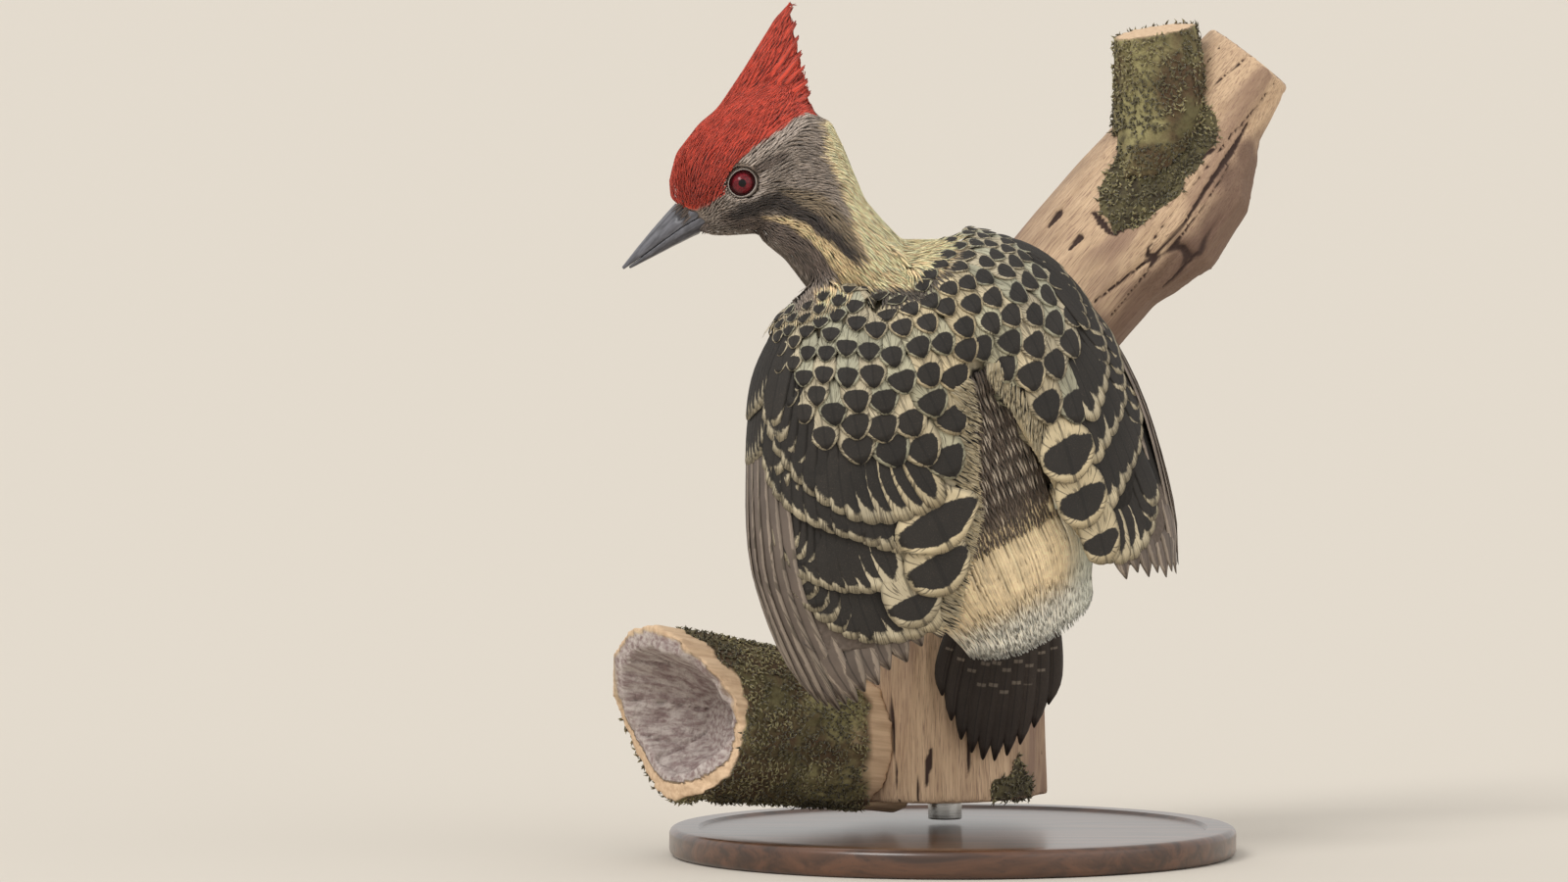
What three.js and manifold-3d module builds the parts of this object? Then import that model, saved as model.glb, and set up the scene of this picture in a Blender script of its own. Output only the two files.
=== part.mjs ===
// Grey-and-buff woodpecker, cock, life size: it clings to a short length of dead trunk
// with its back turned, its wings drooped and its head turned to its left.
// The trunk stands on a plain display stand: a round base and one rod.
// Millimetres, +Z up. The origin is the centre of the base's underside; the bird's back faces -Y.
import * as THREE from 'three';
import { mergeVertices } from 'three/addons/utils/BufferGeometryUtils.js';
import Module from 'manifold-3d';

const wasm = await Module();
wasm.setup();

// ---- driving dimensions ----
const GAP = 0.3;                 // clearance between touching pieces
const BODY_CENTRE = new THREE.Vector3(-1.4, -27, 77.2);
const BODY_LEAN_LEFT = 22;       // degrees: the head end leans to the bird's left
const BODY_LEAN_OUT = 13;        // degrees: the head end leans away from the trunk
const BODY_TURN = 25;            // degrees: the back is turned towards +X
const TORSO_TOP = 33.5;
const TORSO_BOTTOM = -39;
const HEAD_CENTRE = new THREE.Vector3(-35.2, -35, 121.7);
const BILL_DROP = 42;            // degrees: the bill points below the horizon
const HEAD_FRONT = 14.2;
const HEAD_BACK = -14.5;
const BILL_TIP = 27.9;
const BILL_ROOT = 7.5;           // inside the head, before it is cut back
const EYE_RADIUS = 2.8;
const EYE_AT = { forward: 2.6, up: -0.3, side: 5.4 };
const FEATHER_THICK = 0.7;
const BASE_RADIUS = 50;
const BASE_HEIGHT = 5;
const ROD_RADIUS = 3;
const TRUNK_FOOT = 9.5;          // height of the trunk's sawn foot
const TRUNK_AXIS_Y = 12;
const TOE_RADIUS = 0.85;

const rad = THREE.MathUtils.degToRad;
const lerp = THREE.MathUtils.lerp;
const V = (x, y, z) => new THREE.Vector3(x, y, z);

// ---- small tools ----

// A smooth curve through a few [place, value] pairs.
function keyed(pairs) {
  const slope = pairs.map((p, i) => {
    const a = pairs[Math.max(0, i - 1)];
    const b = pairs[Math.min(pairs.length - 1, i + 1)];
    return (b[1] - a[1]) / (b[0] - a[0]);
  });
  return (x) => {
    const last = pairs.length - 1;
    if (x <= pairs[0][0]) return pairs[0][1];
    if (x >= pairs[last][0]) return pairs[last][1];
    const i = pairs.findIndex((p) => p[0] > x) - 1;
    const step = pairs[i + 1][0] - pairs[i][0];
    const t = (x - pairs[i][0]) / step;
    const rise = t * t * (3 - 2 * t);
    const lean = slope[i] * t * (1 - t) ** 2 - slope[i + 1] * t * t * (1 - t);
    return lerp(pairs[i][1], pairs[i + 1][1], rise) + step * lean;
  };
}

// Moves every vertex of a geometry; place(p) returns its new position.
function reshape(geometry, place) {
  geometry.deleteAttribute('normal');
  geometry.deleteAttribute('uv');
  const merged = mergeVertices(geometry, 1e-5);
  const at = merged.attributes.position;
  for (let i = 0; i < at.count; i += 1) {
    const p = place(new THREE.Vector3().fromBufferAttribute(at, i));
    at.setXYZ(i, p.x, p.y, p.z);
  }
  return mergeVertices(merged, 1e-4);
}

function signedVolume(geometry) {
  const at = geometry.attributes.position;
  const index = geometry.index.array;
  const corner = [V(0, 0, 0), V(0, 0, 0), V(0, 0, 0)];
  let sum = 0;
  for (let i = 0; i < index.length; i += 3) {
    corner.forEach((c, k) => c.fromBufferAttribute(at, index[i + k]));
    sum += corner[0].dot(corner[1].clone().cross(corner[2]));
  }
  return sum;
}

// A closed geometry as a solid, turned so that its faces point out.
function solid(geometry) {
  const index = Uint32Array.from(geometry.index.array);
  if (signedVolume(geometry) < 0) {
    for (let i = 0; i < index.length; i += 3) [index[i], index[i + 1]] = [index[i + 1], index[i]];
  }
  const vertProperties = Float32Array.from(geometry.attributes.position.array);
  return new wasm.Manifold(new wasm.Mesh({ numProp: 3, vertProperties, triVerts: index }));
}

function join(solids) {
  return solids.reduce((a, b) => a.add(b));
}

// The largest single body of a cut solid.
function mainBody(cut) {
  return cut.decompose().reduce((a, b) => (a.volume() > b.volume() ? a : b));
}

function geometryOf(body) {
  const mesh = body.getMesh();
  const geometry = new THREE.BufferGeometry();
  const at = new Float32Array(mesh.numVert * 3);
  for (let i = 0; i < mesh.numVert; i += 1) {
    for (let k = 0; k < 3; k += 1) at[3 * i + k] = mesh.vertProperties[i * mesh.numProp + k];
  }
  geometry.setAttribute('position', new THREE.BufferAttribute(at, 3));
  geometry.setIndex(new THREE.BufferAttribute(Uint32Array.from(mesh.triVerts), 1));
  return geometry;
}

// A rounded body: place(s, angle, edge) gives the surface, s from 0 to 1 along it,
// and edge falls from 1 to 0 at both ends.
function loft(around, along, bluntness, place) {
  return reshape(new THREE.SphereGeometry(1, around, along), (p) => {
    const ring = Math.hypot(p.x, p.z);
    const angle = ring > 1e-5 ? Math.atan2(p.z, p.x) : 0;
    const edge = ring > 1e-5 ? (1 - Math.abs(p.y) ** bluntness) ** (1 / bluntness) : 0;
    return place((1 - p.y) / 2, angle, edge);
  });
}

// A tapered rod along a curve, with round ends; radius(s) may be [across, upright].
function rod(curve, radius, around, along, upright, bluntness = 5) {
  return loft(around, along, bluntness, (s, angle, edge) => {
    const tangent = curve.getTangent(s);
    const across = tangent.clone().cross(upright).normalize();
    const up = across.clone().cross(tangent).normalize();
    const [a, b] = [radius(s)].flat();
    return curve.getPoint(s)
      .addScaledVector(across, Math.cos(angle) * a * edge)
      .addScaledVector(up, Math.sin(angle) * (b ?? a) * edge);
  });
}

// ---- frames of the body and the head ----
function frame(right, front, up, origin) {
  return new THREE.Matrix4().makeBasis(right, front, up).setPosition(origin);
}

const upright = Math.cos(rad(BODY_LEAN_OUT));
const bodyUp = V(-Math.sin(rad(BODY_LEAN_LEFT)) * upright, -Math.sin(rad(BODY_LEAN_OUT)),
  Math.cos(rad(BODY_LEAN_LEFT)) * upright);
const bodyFront = V(-Math.sin(rad(BODY_TURN)), Math.cos(rad(BODY_TURN)), 0);
bodyFront.addScaledVector(bodyUp, -bodyFront.dot(bodyUp)).normalize();
const bodyRight = bodyFront.clone().cross(bodyUp);
const bodyFrame = frame(bodyRight, bodyFront, bodyUp, BODY_CENTRE);
// Body coordinates: x to the bird's right, y to its belly, z to its neck.
const onBody = (x, y, z) => V(x, y, z).applyMatrix4(bodyFrame);

const headForward = V(-Math.cos(rad(BILL_DROP)), 0, -Math.sin(rad(BILL_DROP)));
const headUp = V(-Math.sin(rad(BILL_DROP)), 0, Math.cos(rad(BILL_DROP)));
// Head coordinates: forward along the bill, side to the bird's left, up to its crown.
const onHead = (forward, side, up) => HEAD_CENTRE.clone()
  .addScaledVector(headForward, forward)
  .addScaledVector(V(0, -1, 0), side)
  .addScaledVector(headUp, up);

// ---- torso ----
const torsoWidth = keyed([[-39, 13.5], [-30, 18.5], [-12, 22], [4, 24], [18, 22.5], [28, 18.5], [34, 14]]);
const torsoBack = keyed([
  [-39, 5], [-26, 9], [-12, 13], [0, 15.5], [10, 17.8], [20, 17.8], [28, 15], [34, 11],
]);
const torsoBelly = keyed([[-39, 5], [-26, 9], [-12, 14], [4, 18], [18, 17.5], [28, 14], [34, 10]]);

function torso(grow = 0) {
  return solid(loft(24, 16, 3, (s, angle, edge) => {
    const z = lerp(TORSO_TOP + grow, TORSO_BOTTOM - grow, s);
    const depth = Math.sin(angle) < 0 ? torsoBack(z) : torsoBelly(z);
    const across = (torsoWidth(z) + grow) * edge;
    return onBody(Math.cos(angle) * across, Math.sin(angle) * (depth + grow) * edge, z);
  }));
}

// ---- neck ----
const neckLine = new THREE.CatmullRomCurve3([
  onBody(1.2, 0, 18), V(-16.6, -34, 104.2), V(-22.7, -34.8, 111.5), V(-26.6, -35, 117.4),
  V(-26.6, -35, 131.6),
]);
const neckWide = keyed([[0, 10.6], [0.25, 8.9], [0.5, 8.3], [0.75, 9.9], [1, 7]]);
const neckDeep = keyed([[0, 10], [0.4, 8.6], [0.6, 7.6], [0.8, 7.2], [1, 5.2]]);

function neck(grow = 0) {
  const radius = (s) => [neckWide(s) + grow, neckDeep(s) + grow];
  return solid(rod(neckLine, radius, 18, 10, V(0, -1, 0), 4));
}

// ---- head ----
const headWide = keyed([[-14, 5.6], [-8, 7.6], [0, 8.2], [6, 7.2], [11, 5.2], [13.5, 4]]);
const headTop = keyed([[-14, 6.4], [-8, 8.6], [0, 9.8], [6, 9.4], [11, 7.3], [14, 5.4]]);
const headBottom = keyed([[-14, 7], [-8, 9], [0, 9.6], [6, 9], [11, 6.4], [13.5, 5]]);

function head(grow = 0) {
  return solid(loft(20, 12, 2.6, (s, angle, edge) => {
    const forward = lerp(HEAD_FRONT + grow, HEAD_BACK - grow, s);
    const tall = Math.sin(angle) > 0 ? headTop(forward) : headBottom(forward);
    return onHead(forward, Math.cos(angle) * (headWide(forward) + grow) * edge,
      Math.sin(angle) * (tall + grow) * edge);
  }));
}

function eye(side, grow = 0) {
  const at = onHead(EYE_AT.forward, side * EYE_AT.side, EYE_AT.up);
  return solid(reshape(new THREE.SphereGeometry(EYE_RADIUS + grow, 12, 8), (p) => p.add(at)));
}

// ---- bill: two straight, tapering halves that meet at the tomial line ----
const tomium = keyed([[8, -1.3], [11, -0.1], [15, 0.8], [BILL_TIP, 2.1]]);
const culmen = keyed([[8, 5.2], [13.8, 4.6], [21.3, 3.7], [BILL_TIP, 2.6]]);
const gonys = keyed([[8, -4], [12.2, -2.7], [15.3, -1.5], [BILL_TIP - 0.9, 1.6]]);
const billWide = (forward) => lerp(3.9, 0.8, (forward - 10) / (BILL_TIP - 10));

function billHalf(isUpper) {
  const tip = isUpper ? BILL_TIP : BILL_TIP - 0.9;
  const shape = new THREE.CylinderGeometry(1, 1, 1, 10, 5);
  return solid(reshape(shape, (p) => {
    const forward = lerp(BILL_ROOT, tip, p.y + 0.5);
    const line = tomium(forward) + (isUpper ? GAP / 2 : -GAP / 2);
    const far = isUpper ? culmen(forward) : gonys(forward);
    const rise = Math.max(0, p.z) ** 0.8;           // the ridge is narrow, the meeting edge flat
    return onHead(forward, p.x * billWide(forward), lerp(line, far, rise));
  }));
}

// ---- crest: a cap on the crown and locks that fan up and back ----
const CREST_LOCKS = 7;

function crest(grow = 0) {
  const capLine = new THREE.CatmullRomCurve3([
    onHead(13.8, 0, 2.6), onHead(6, 0, 4.4), onHead(-4, 0, 5), onHead(-14, 0, 5.6),
  ]);
  const capTall = keyed([[0, 4], [0.3, 6.6], [0.6, 7], [1, 5]]);
  const capWide = keyed([[0, 4.4], [0.3, 8], [0.6, 8.6], [1, 5]]);
  const pieces = [solid(rod(capLine, (s) => [capWide(s) + grow, capTall(s) + grow], 12, 8, headUp, 3.4))];
  for (let i = 0; i < CREST_LOCKS; i += 1) {
    const fan = i / (CREST_LOCKS - 1);              // 0 is the lowest lock, 1 the longest
    const root = onHead(lerp(-6, 3, fan), 0, lerp(3.4, 8, fan));
    const middle = onHead(lerp(-11, -11.5, fan), 0, lerp(3, 12, fan));
    const tip = onHead(lerp(-15.6, -25, fan ** 1.15), 0, lerp(1.4, 17.4, fan ** 1.1));
    const width = lerp(2.3, 2.6, fan);
    const radius = (s) => [lerp(3.8, 0.8, s ** 0.8) + grow, lerp(width, 0.7, s ** 2) + grow];
    const lockLine = new THREE.CatmullRomCurve3([root, middle, tip]);
    pieces.push(solid(rod(lockLine, radius, 6, 4, headUp, 4)));
  }
  return join(pieces);
}

// ---- wings: plates bent round the body, given by angle from the spine and height ----
const WINGS = {
  left: { side: -1,
    reach: keyed([
      [-38, 42], [-25, 45], [-10, 43.8], [0, 40.8], [10, 36.3], [22, 30.5], [28, 26], [31, 22], [35, 13],
    ]),
    top: keyed([[0, 32], [0.6, 35.2], [0.85, 34], [1, 31.5]]),
    bottom: keyed([[0, -25.5], [0.12, -27.8], [0.25, -27.6], [0.35, -26], [0.62, -21.5], [0.8, -9], [1, 1]]),
    inner: keyed([
      [-30, 24], [-24, 19], [-20, 15.5], [-16, 12], [-12, 8.5], [8, 7], [16, 17], [26, 24], [31, 26],
    ]),
    tips: keyed([
      [0, -28.5], [0.2, -30.5], [0.45, -33.5], [0.65, -34], [0.8, -31.5], [0.9, -28], [1, -24],
    ]) },
  right: { side: 1,
    reach: keyed([
      [-42, 31.5], [-33, 34.2], [-15, 35], [0, 34], [8, 32], [17, 29], [24, 24.5], [29, 18.5], [34, 11],
    ]),
    top: keyed([[0, 27], [0.3, 30], [0.6, 31.2], [1, 28]]),
    bottom: keyed([[0, -29], [0.08, -34.5], [0.22, -36.5], [0.4, -34.5], [0.6, -27], [0.8, -14], [1, -3]]),
    inner: keyed([
      [-33, 21], [-26, 15], [-20, 11.5], [-12, 11], [-5, 8], [8, 7], [16, 17], [26, 24], [31, 26],
    ]),
    tips: keyed([[0, -36], [0.3, -40.5], [0.5, -41.5], [0.8, -39], [1, -32]]) },
};
const wingRise = keyed([[-40, 12.5], [-25, 15.5], [-8, 18.2], [8, 20], [20, 20.2], [28, 16.5], [34, 9.5]]);
const wingThick = keyed([[-30, 1], [-10, 1.6], [0, 2.4], [12, 5], [22, 8], [32, 7]]);
const WING_OUTER = 102;          // degrees from the spine to the leading edge

function onWing(wing, degrees, z, depth) {
  const a = rad(degrees);
  return onBody(wing.side * (wing.reach(z) - depth) * Math.sin(a), -(wingRise(z) - depth) * Math.cos(a), z);
}

function wingPlate(wing) {
  const shape = new THREE.BoxGeometry(1, 1, 1, 11, 11, 1);
  return solid(reshape(shape, (p) => {
    const across = p.x + 0.5;
    const z = lerp(wing.top(across), wing.bottom(across), 0.5 - p.y);
    const degrees = lerp(wing.inner(z), WING_OUTER, across);
    const rim = Math.min(across, 1 - across, 0.5 - p.y, 0.5 + p.y) * 5;
    const thick = lerp(0.9, wingThick(z), Math.min(1, rim));
    return onWing(wing, degrees, z, p.z > 0 ? 0 : thick);
  }));
}

// A row of blades side by side: three columns to a blade, the middle one runs to its point.
function bladeRow(count, rows, notch, place) {
  const columns = count * 2;
  const shape = new THREE.BoxGeometry(1, 1, 1, columns, rows, 1);
  return solid(reshape(shape, (p) => {
    const column = Math.round((p.x + 0.5) * columns);
    const onShaft = column % 2 === 1;
    const s = 0.5 - p.y;
    const shortening = onShaft ? 0 : notch * THREE.MathUtils.smoothstep(s, 0.6, 1);
    return place(column / columns, s, shortening, p.z > 0);
  }));
}

// Flight feathers: parallel blades with pointed tips that start under the wing plate.
const FLIGHT_COUNT = 11;
const FLIGHT_INNER = 30;         // degrees from the spine to the first blade

function flightFeathers(wing) {
  return bladeRow(FLIGHT_COUNT, 4, 3.4, (along, s, shortening, isOuter) => {
    const tip = wing.tips(along) + shortening;
    const z = lerp(tip + lerp(17, 28, along), tip, s);
    const depth = wingThick(z) + GAP + (isOuter ? 0 : FEATHER_THICK);
    return onWing(wing, lerp(FLIGHT_INNER, WING_OUTER, along), z, depth);
  });
}

// ---- tail: a fan of stiff pointed blades braced on the trunk ----
const TAIL_ROOT = V(9.9, -17.2, 47);
const TAIL_TIP = V(6.1, -6.2, 17.6);
const RECTRICES = 10;

function tail() {
  const down = TAIL_TIP.clone().sub(TAIL_ROOT);
  const length = down.length();
  down.normalize();
  const out = V(0.1, -1, 0).addScaledVector(down, -V(0.1, -1, 0).dot(down)).normalize();
  const across = down.clone().cross(out).normalize();
  return bladeRow(RECTRICES, 5, 4.2, (along, s, shortening, isOuter) => {
    const place = along * 2 - 1;                    // -1 to 1 across the fan
    const reach = length * (1 - 0.42 * Math.abs(place) ** 2) - shortening;
    const side = place * (6.6 + 4.1 * Math.sin(Math.PI * 0.6 * s));
    const crown = 1.4 - 0.024 * side * side - 2.2 * s * (1 - s);
    const thick = FEATHER_THICK * (1 + (1 - s) * 2);
    return TAIL_ROOT.clone().addScaledVector(down, s * reach)
      .addScaledVector(across, side).addScaledVector(out, crown + (isOuter ? 0.5 : -0.5) * thick);
  });
}

// ---- perch: a dead trunk that bends into a limb, with a broken stub and a branch ----
const trunkLine = new THREE.CatmullRomCurve3([
  V(-1.2, TRUNK_AXIS_Y, TRUNK_FOOT), V(-1.6, TRUNK_AXIS_Y, 38), V(0, TRUNK_AXIS_Y, 62),
  V(7.5, TRUNK_AXIS_Y + 1, 82), V(20.4, TRUNK_AXIS_Y + 2, 99), V(37.5, TRUNK_AXIS_Y + 4, 120),
  V(53, TRUNK_AXIS_Y + 5, 140),
]);
const trunkRadius = keyed([[0, 17.6], [0.15, 17.4], [0.4, 15.6], [0.6, 13.4], [0.8, 12.4], [1, 8.5]]);
// The knee of an old side branch, low on the limb's right.
const KNEE = { at: 0.82, spread: 0.07, turn: -0.2, height: 6.6 };

// The trunk's surface: ribs along the grain, slow swellings and the knee.
// Angle 0 faces +X, -90 faces the bird.
function onTrunk(s, angle, outward = 0) {
  const point = trunkLine.getPoint(s);
  const tangent = trunkLine.getTangent(s);
  const front = V(0, -1, 0).addScaledVector(tangent, tangent.y).normalize();
  const side = front.clone().cross(tangent).negate().normalize();
  const ribs = 1 + 0.035 * Math.sin(3 * angle + 5 * s) + 0.02 * Math.sin(7 * angle - 9 * s + 1)
    + 0.015 * Math.sin(11 * angle + 3);
  const facing = Math.max(0, Math.cos(angle - KNEE.turn)) ** 2;
  const knee = facing * Math.exp(-(((s - KNEE.at) / KNEE.spread) ** 2));
  const radius = trunkRadius(s) * ribs + KNEE.height * knee + outward;
  return point.addScaledVector(side, Math.cos(angle) * radius)
    .addScaledVector(front, -Math.sin(angle) * radius);
}

function trunkWhole(grow = 0) {
  const shape = new THREE.CylinderGeometry(1, 1, 1, 20, 14);
  return solid(reshape(shape, (p) => {
    const ring = Math.hypot(p.x, p.z);
    const s = p.y + 0.5;
    if (ring < 1e-5) return trunkLine.getPoint(s);
    return onTrunk(s, Math.atan2(p.z, p.x), grow);
  }));
}

// A big block on the far side of a plane, for thin cuts. Its near face has the plane's normal.
function beyond(point, normal) {
  const turn = new THREE.Quaternion().setFromUnitVectors(V(0, 0, 1), normal.clone().normalize());
  const shape = new THREE.BoxGeometry(400, 400, 400);
  return solid(reshape(shape, (p) => p.add(V(0, 0, 200)).applyQuaternion(turn).add(point)));
}

// The hollow stub of a broken branch, low on the left: a wide barrel, torn off on a slant.
const STUB = {
  root: V(-10, TRUNK_AXIS_Y - 0.5, 19.3),
  mouth: V(-51.5, TRUNK_AXIS_Y - 27, 26),
  rootRadius: 11.8,
  mouthRadius: 13.6,
  wall: 1.9,
  hollow: 14,                    // depth of the rotten mouth
  slant: 5.5,                    // how far the torn edge reaches out above and back below
};

function stub() {
  const line = new THREE.LineCurve3(STUB.root, STUB.mouth);
  const length = line.getLength();
  const axis = line.getTangent(0);
  const up = V(0, 0, 1).addScaledVector(axis, -axis.z).normalize();
  const side = axis.clone().cross(up);
  const shape = new THREE.CylinderGeometry(1, 1, 1, 14, 3);
  const tube = (from, to, radius, ragged) => solid(reshape(shape.clone(), (p) => {
    const share = p.y + 0.5;
    const s = lerp(from, to, share);
    const angle = Math.atan2(p.z, p.x);
    const ring = Math.hypot(p.x, p.z);
    const torn = share * ragged * (STUB.slant * Math.sin(angle) + 1.1 * Math.sin(3 * angle)) * ring;
    return STUB.root.clone().addScaledVector(axis, s + torn)
      .addScaledVector(side, Math.cos(angle) * ring * radius(share))
      .addScaledVector(up, Math.sin(angle) * ring * radius(share) * 1.1);
  }));
  const outer = tube(0, length, (share) => lerp(STUB.rootRadius, STUB.mouthRadius, share ** 1.5), 1);
  const widest = STUB.mouthRadius - STUB.wall;
  const bore = (share) => widest * lerp(0.5, 1, share ** 0.6);
  const inner = tube(length - STUB.hollow, length + STUB.slant + 3, bore, 0);
  return outer.subtract(inner);
}

// The mossy branch that leaves the limb, sawn short.
function branch() {
  const line = new THREE.CatmullRomCurve3([
    V(34, 14, 112), V(36.5, 12, 124), V(37.6, 10.5, 133), V(35.5, 9.5, 145),
  ]);
  return solid(reshape(new THREE.CylinderGeometry(1, 1, 1, 12, 5), (p) => {
    const s = p.y + 0.5;
    const ring = Math.hypot(p.x, p.z);
    const angle = Math.atan2(p.z, p.x);
    const radius = ring * lerp(9.8, 7.2, s) * (1 + 0.06 * Math.sin(3 * angle + 7 * s));
    const tangent = line.getTangent(s);
    const across = tangent.clone().cross(V(0, -1, 0)).normalize();
    const front = across.clone().cross(tangent).normalize();
    return line.getPoint(s).addScaledVector(across, Math.cos(angle) * radius)
      .addScaledVector(front, Math.sin(angle) * radius);
  }));
}

// ---- legs and feet ----
const FEET = {
  left: { side: -1, at: 0.352, angle: -140, hip: [-9.5, 12, -12], ankle: [-13, 18.5, -21] },
  right: { side: 1, at: 0.355, angle: -46, hip: [9.5, 12.5, -12], ankle: [15.5, 18, -19.5] },
};
// Each toe: how far it runs along the trunk and round it (mm), two up, one out, one down.
const TOES = [
  { name: 'first', rise: -5, round: -1.5 },
  { name: 'second', rise: 8.5, round: -3 },
  { name: 'third', rise: 10.5, round: 2.2 },
  { name: 'fourth', rise: 1.5, round: 9 },
];

function ball(foot) {
  return onTrunk(foot.at, rad(foot.angle), TOE_RADIUS + 1.1);
}

function trunkSpot(foot, toe, share, outward) {
  const length = trunkLine.getLength();
  const s = foot.at + toe.rise * share / length;
  const turn = foot.side * toe.round * share / trunkRadius(s);
  return onTrunk(s, rad(foot.angle) + turn, outward);
}

function leg(foot, grow = 0) {
  const hip = onBody(...foot.hip);
  const ankle = onBody(...foot.ankle);
  const thigh = new THREE.LineCurve3(hip, ankle);
  const shank = new THREE.LineCurve3(ankle, ball(foot));
  return join([
    solid(rod(thigh, (s) => lerp(5.2, 1.5, s ** 0.8) + grow, 9, 6, V(1, 0, 0), 3)),
    solid(rod(shank, () => 1.15 + grow, 7, 5, V(1, 0, 0), 4)),
  ]);
}

function toeLine(foot, toe, from, to, outer) {
  const spots = [];
  for (let i = 0; i <= 3; i += 1) spots.push(trunkSpot(foot, toe, lerp(from, to, i / 3), outer(i / 3)));
  return new THREE.CatmullRomCurve3(spots);
}

function toes(foot, grow = 0) {
  const pieces = [solid(reshape(new THREE.SphereGeometry(1.5 + grow, 8, 6), (p) => p.add(ball(foot))))];
  for (const toe of TOES) {
    const height = (s) => TOE_RADIUS + GAP + 0.15 + (1 - s) * 0.8 + 0.5 * Math.sin(Math.PI * s);
    const line = toeLine(foot, toe, 0, 1, height);
    pieces.push(solid(rod(line, (s) => TOE_RADIUS * (1 - 0.15 * s) + grow, 6, 5, V(0.3, -1, 0.2), 5)));
  }
  return join(pieces);
}

function claw(foot, toe) {
  const reach = Math.hypot(toe.rise, toe.round);
  const end = 1 + 3.1 / reach;
  const hook = (s) => 1.5 + 0.8 * Math.sin(Math.PI * (0.15 + 0.75 * s)) - 0.9 * s * s;
  const line = toeLine(foot, toe, 1 - 0.2 / reach, end, hook);
  return solid(rod(line, (s) => lerp(0.62, 0.26, s), 6, 5, V(0.3, -1, 0.2), 5));
}

// ---- finishes ----
function finish(color, roughness, metalness = 0) {
  return new THREE.MeshStandardMaterial({ color, roughness, metalness });
}
const FINISH = {
  spotted: finish(0x4a463c, 0.8), grey: finish(0x5d574d, 0.85), buff: finish(0xc9b083, 0.85),
  crest: finish(0xa82420, 0.7), horn: finish(0x565d63, 0.4), eye: finish(0x8f1b22, 0.1),
  flight: finish(0x3a322c, 0.7), tail: finish(0x241f1d, 0.7), skin: finish(0x5b6058, 0.6),
  claw: finish(0x2f3133, 0.35), wood: finish(0xb99c7c, 0.9), moss: finish(0x626b3e, 1),
  base: finish(0x3b2618, 0.4), rod: finish(0x8d8a83, 0.3, 1),
};

const model = new THREE.Group();
model.name = 'woodpecker';

function add(name, shape, material) {
  const mesh = new THREE.Mesh(shape.isBufferGeometry ? shape : geometryOf(shape), material);
  mesh.name = name;
  model.add(mesh);
  return mesh;
}

// ---- assembly ----
const torsoSpace = torso(GAP);
const headSpace = head(GAP);
const neckSpace = neck(GAP);
const eyeSpaces = eye(1, GAP).add(eye(-1, GAP));
const crestSpace = crest(GAP);

const torsoSolid = torso();
const headSolid = mainBody(head().subtract(eyeSpaces));
add('torso', torsoSolid, FINISH.spotted);
add('neck', mainBody(neck().subtract(torsoSpace).subtract(headSpace)), FINISH.buff);
add('head', headSolid, FINISH.grey);
add('crest', mainBody(crest().subtract(headSpace).subtract(neckSpace)), FINISH.crest);
for (const [name, isUpper] of [['bill_upper', true], ['bill_lower', false]]) {
  add(name, mainBody(billHalf(isUpper).subtract(headSpace).subtract(crestSpace)), FINISH.horn);
}
add('eye_left', eye(1), FINISH.eye);
add('eye_right', eye(-1), FINISH.eye);

for (const [name, wing] of Object.entries(WINGS)) {
  add(`wing_${name}`, mainBody(wingPlate(wing).subtract(torsoSpace).subtract(neckSpace)), FINISH.spotted);
  add(`wing_${name}_flight`, mainBody(flightFeathers(wing).subtract(torsoSpace)), FINISH.flight);
}

add('tail', mainBody(tail().subtract(torsoSpace)), FINISH.tail);

const trunkSpace = trunkWhole(GAP);
for (const [name, foot] of Object.entries(FEET)) {
  const footSpace = toes(foot, GAP);
  const legSpace = leg(foot, GAP);
  const legSolid = leg(foot).subtract(torsoSpace).subtract(footSpace).subtract(trunkSpace);
  add(`leg_${name}`, mainBody(legSolid), FINISH.grey);
  add(`foot_${name}`, mainBody(toes(foot).subtract(trunkSpace)), FINISH.skin);
  for (const toe of TOES) {
    const clawSolid = claw(foot, toe).subtract(footSpace).subtract(legSpace).subtract(trunkSpace);
    add(`claw_${name}_${toe.name}`, mainBody(clawSolid), FINISH.claw);
  }
}

const limbCut = trunkLine.getPoint(0.56);
const limbWay = trunkLine.getTangent(0.56);
const limbPlane = beyond(limbCut.clone().addScaledVector(limbWay, GAP / 2), limbWay);
const trunkPlane = beyond(limbCut.clone().addScaledVector(limbWay, -GAP / 2), limbWay.clone().negate());
add('perch_trunk', mainBody(trunkWhole().intersect(trunkPlane)), FINISH.wood);
add('perch_limb', mainBody(trunkWhole().intersect(limbPlane)), FINISH.wood);
add('perch_stub', mainBody(stub().subtract(trunkSpace)), FINISH.moss);
add('perch_branch', mainBody(branch().subtract(trunkSpace)), FINISH.moss);

const base = new THREE.CylinderGeometry(BASE_RADIUS - 0.8, BASE_RADIUS, BASE_HEIGHT, 48);
const baseMesh = add('stand_base', reshape(base, (p) => p), FINISH.base);
baseMesh.rotation.x = Math.PI / 2;
baseMesh.position.z = BASE_HEIGHT / 2;
const rodTall = TRUNK_FOOT - BASE_HEIGHT - 2 * GAP;
const post = new THREE.CylinderGeometry(ROD_RADIUS, ROD_RADIUS, rodTall, 16);
const rodMesh = add('stand_rod', reshape(post, (p) => p), FINISH.rod);
rodMesh.rotation.x = Math.PI / 2;
rodMesh.position.set(trunkLine.getPoint(0).x, TRUNK_AXIS_Y, BASE_HEIGHT + GAP + rodTall / 2);

export default model;
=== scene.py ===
"""A still, life-size cock grey-and-buff woodpecker on a cut trunk, dressed round its CAD frame."""

import math

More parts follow.
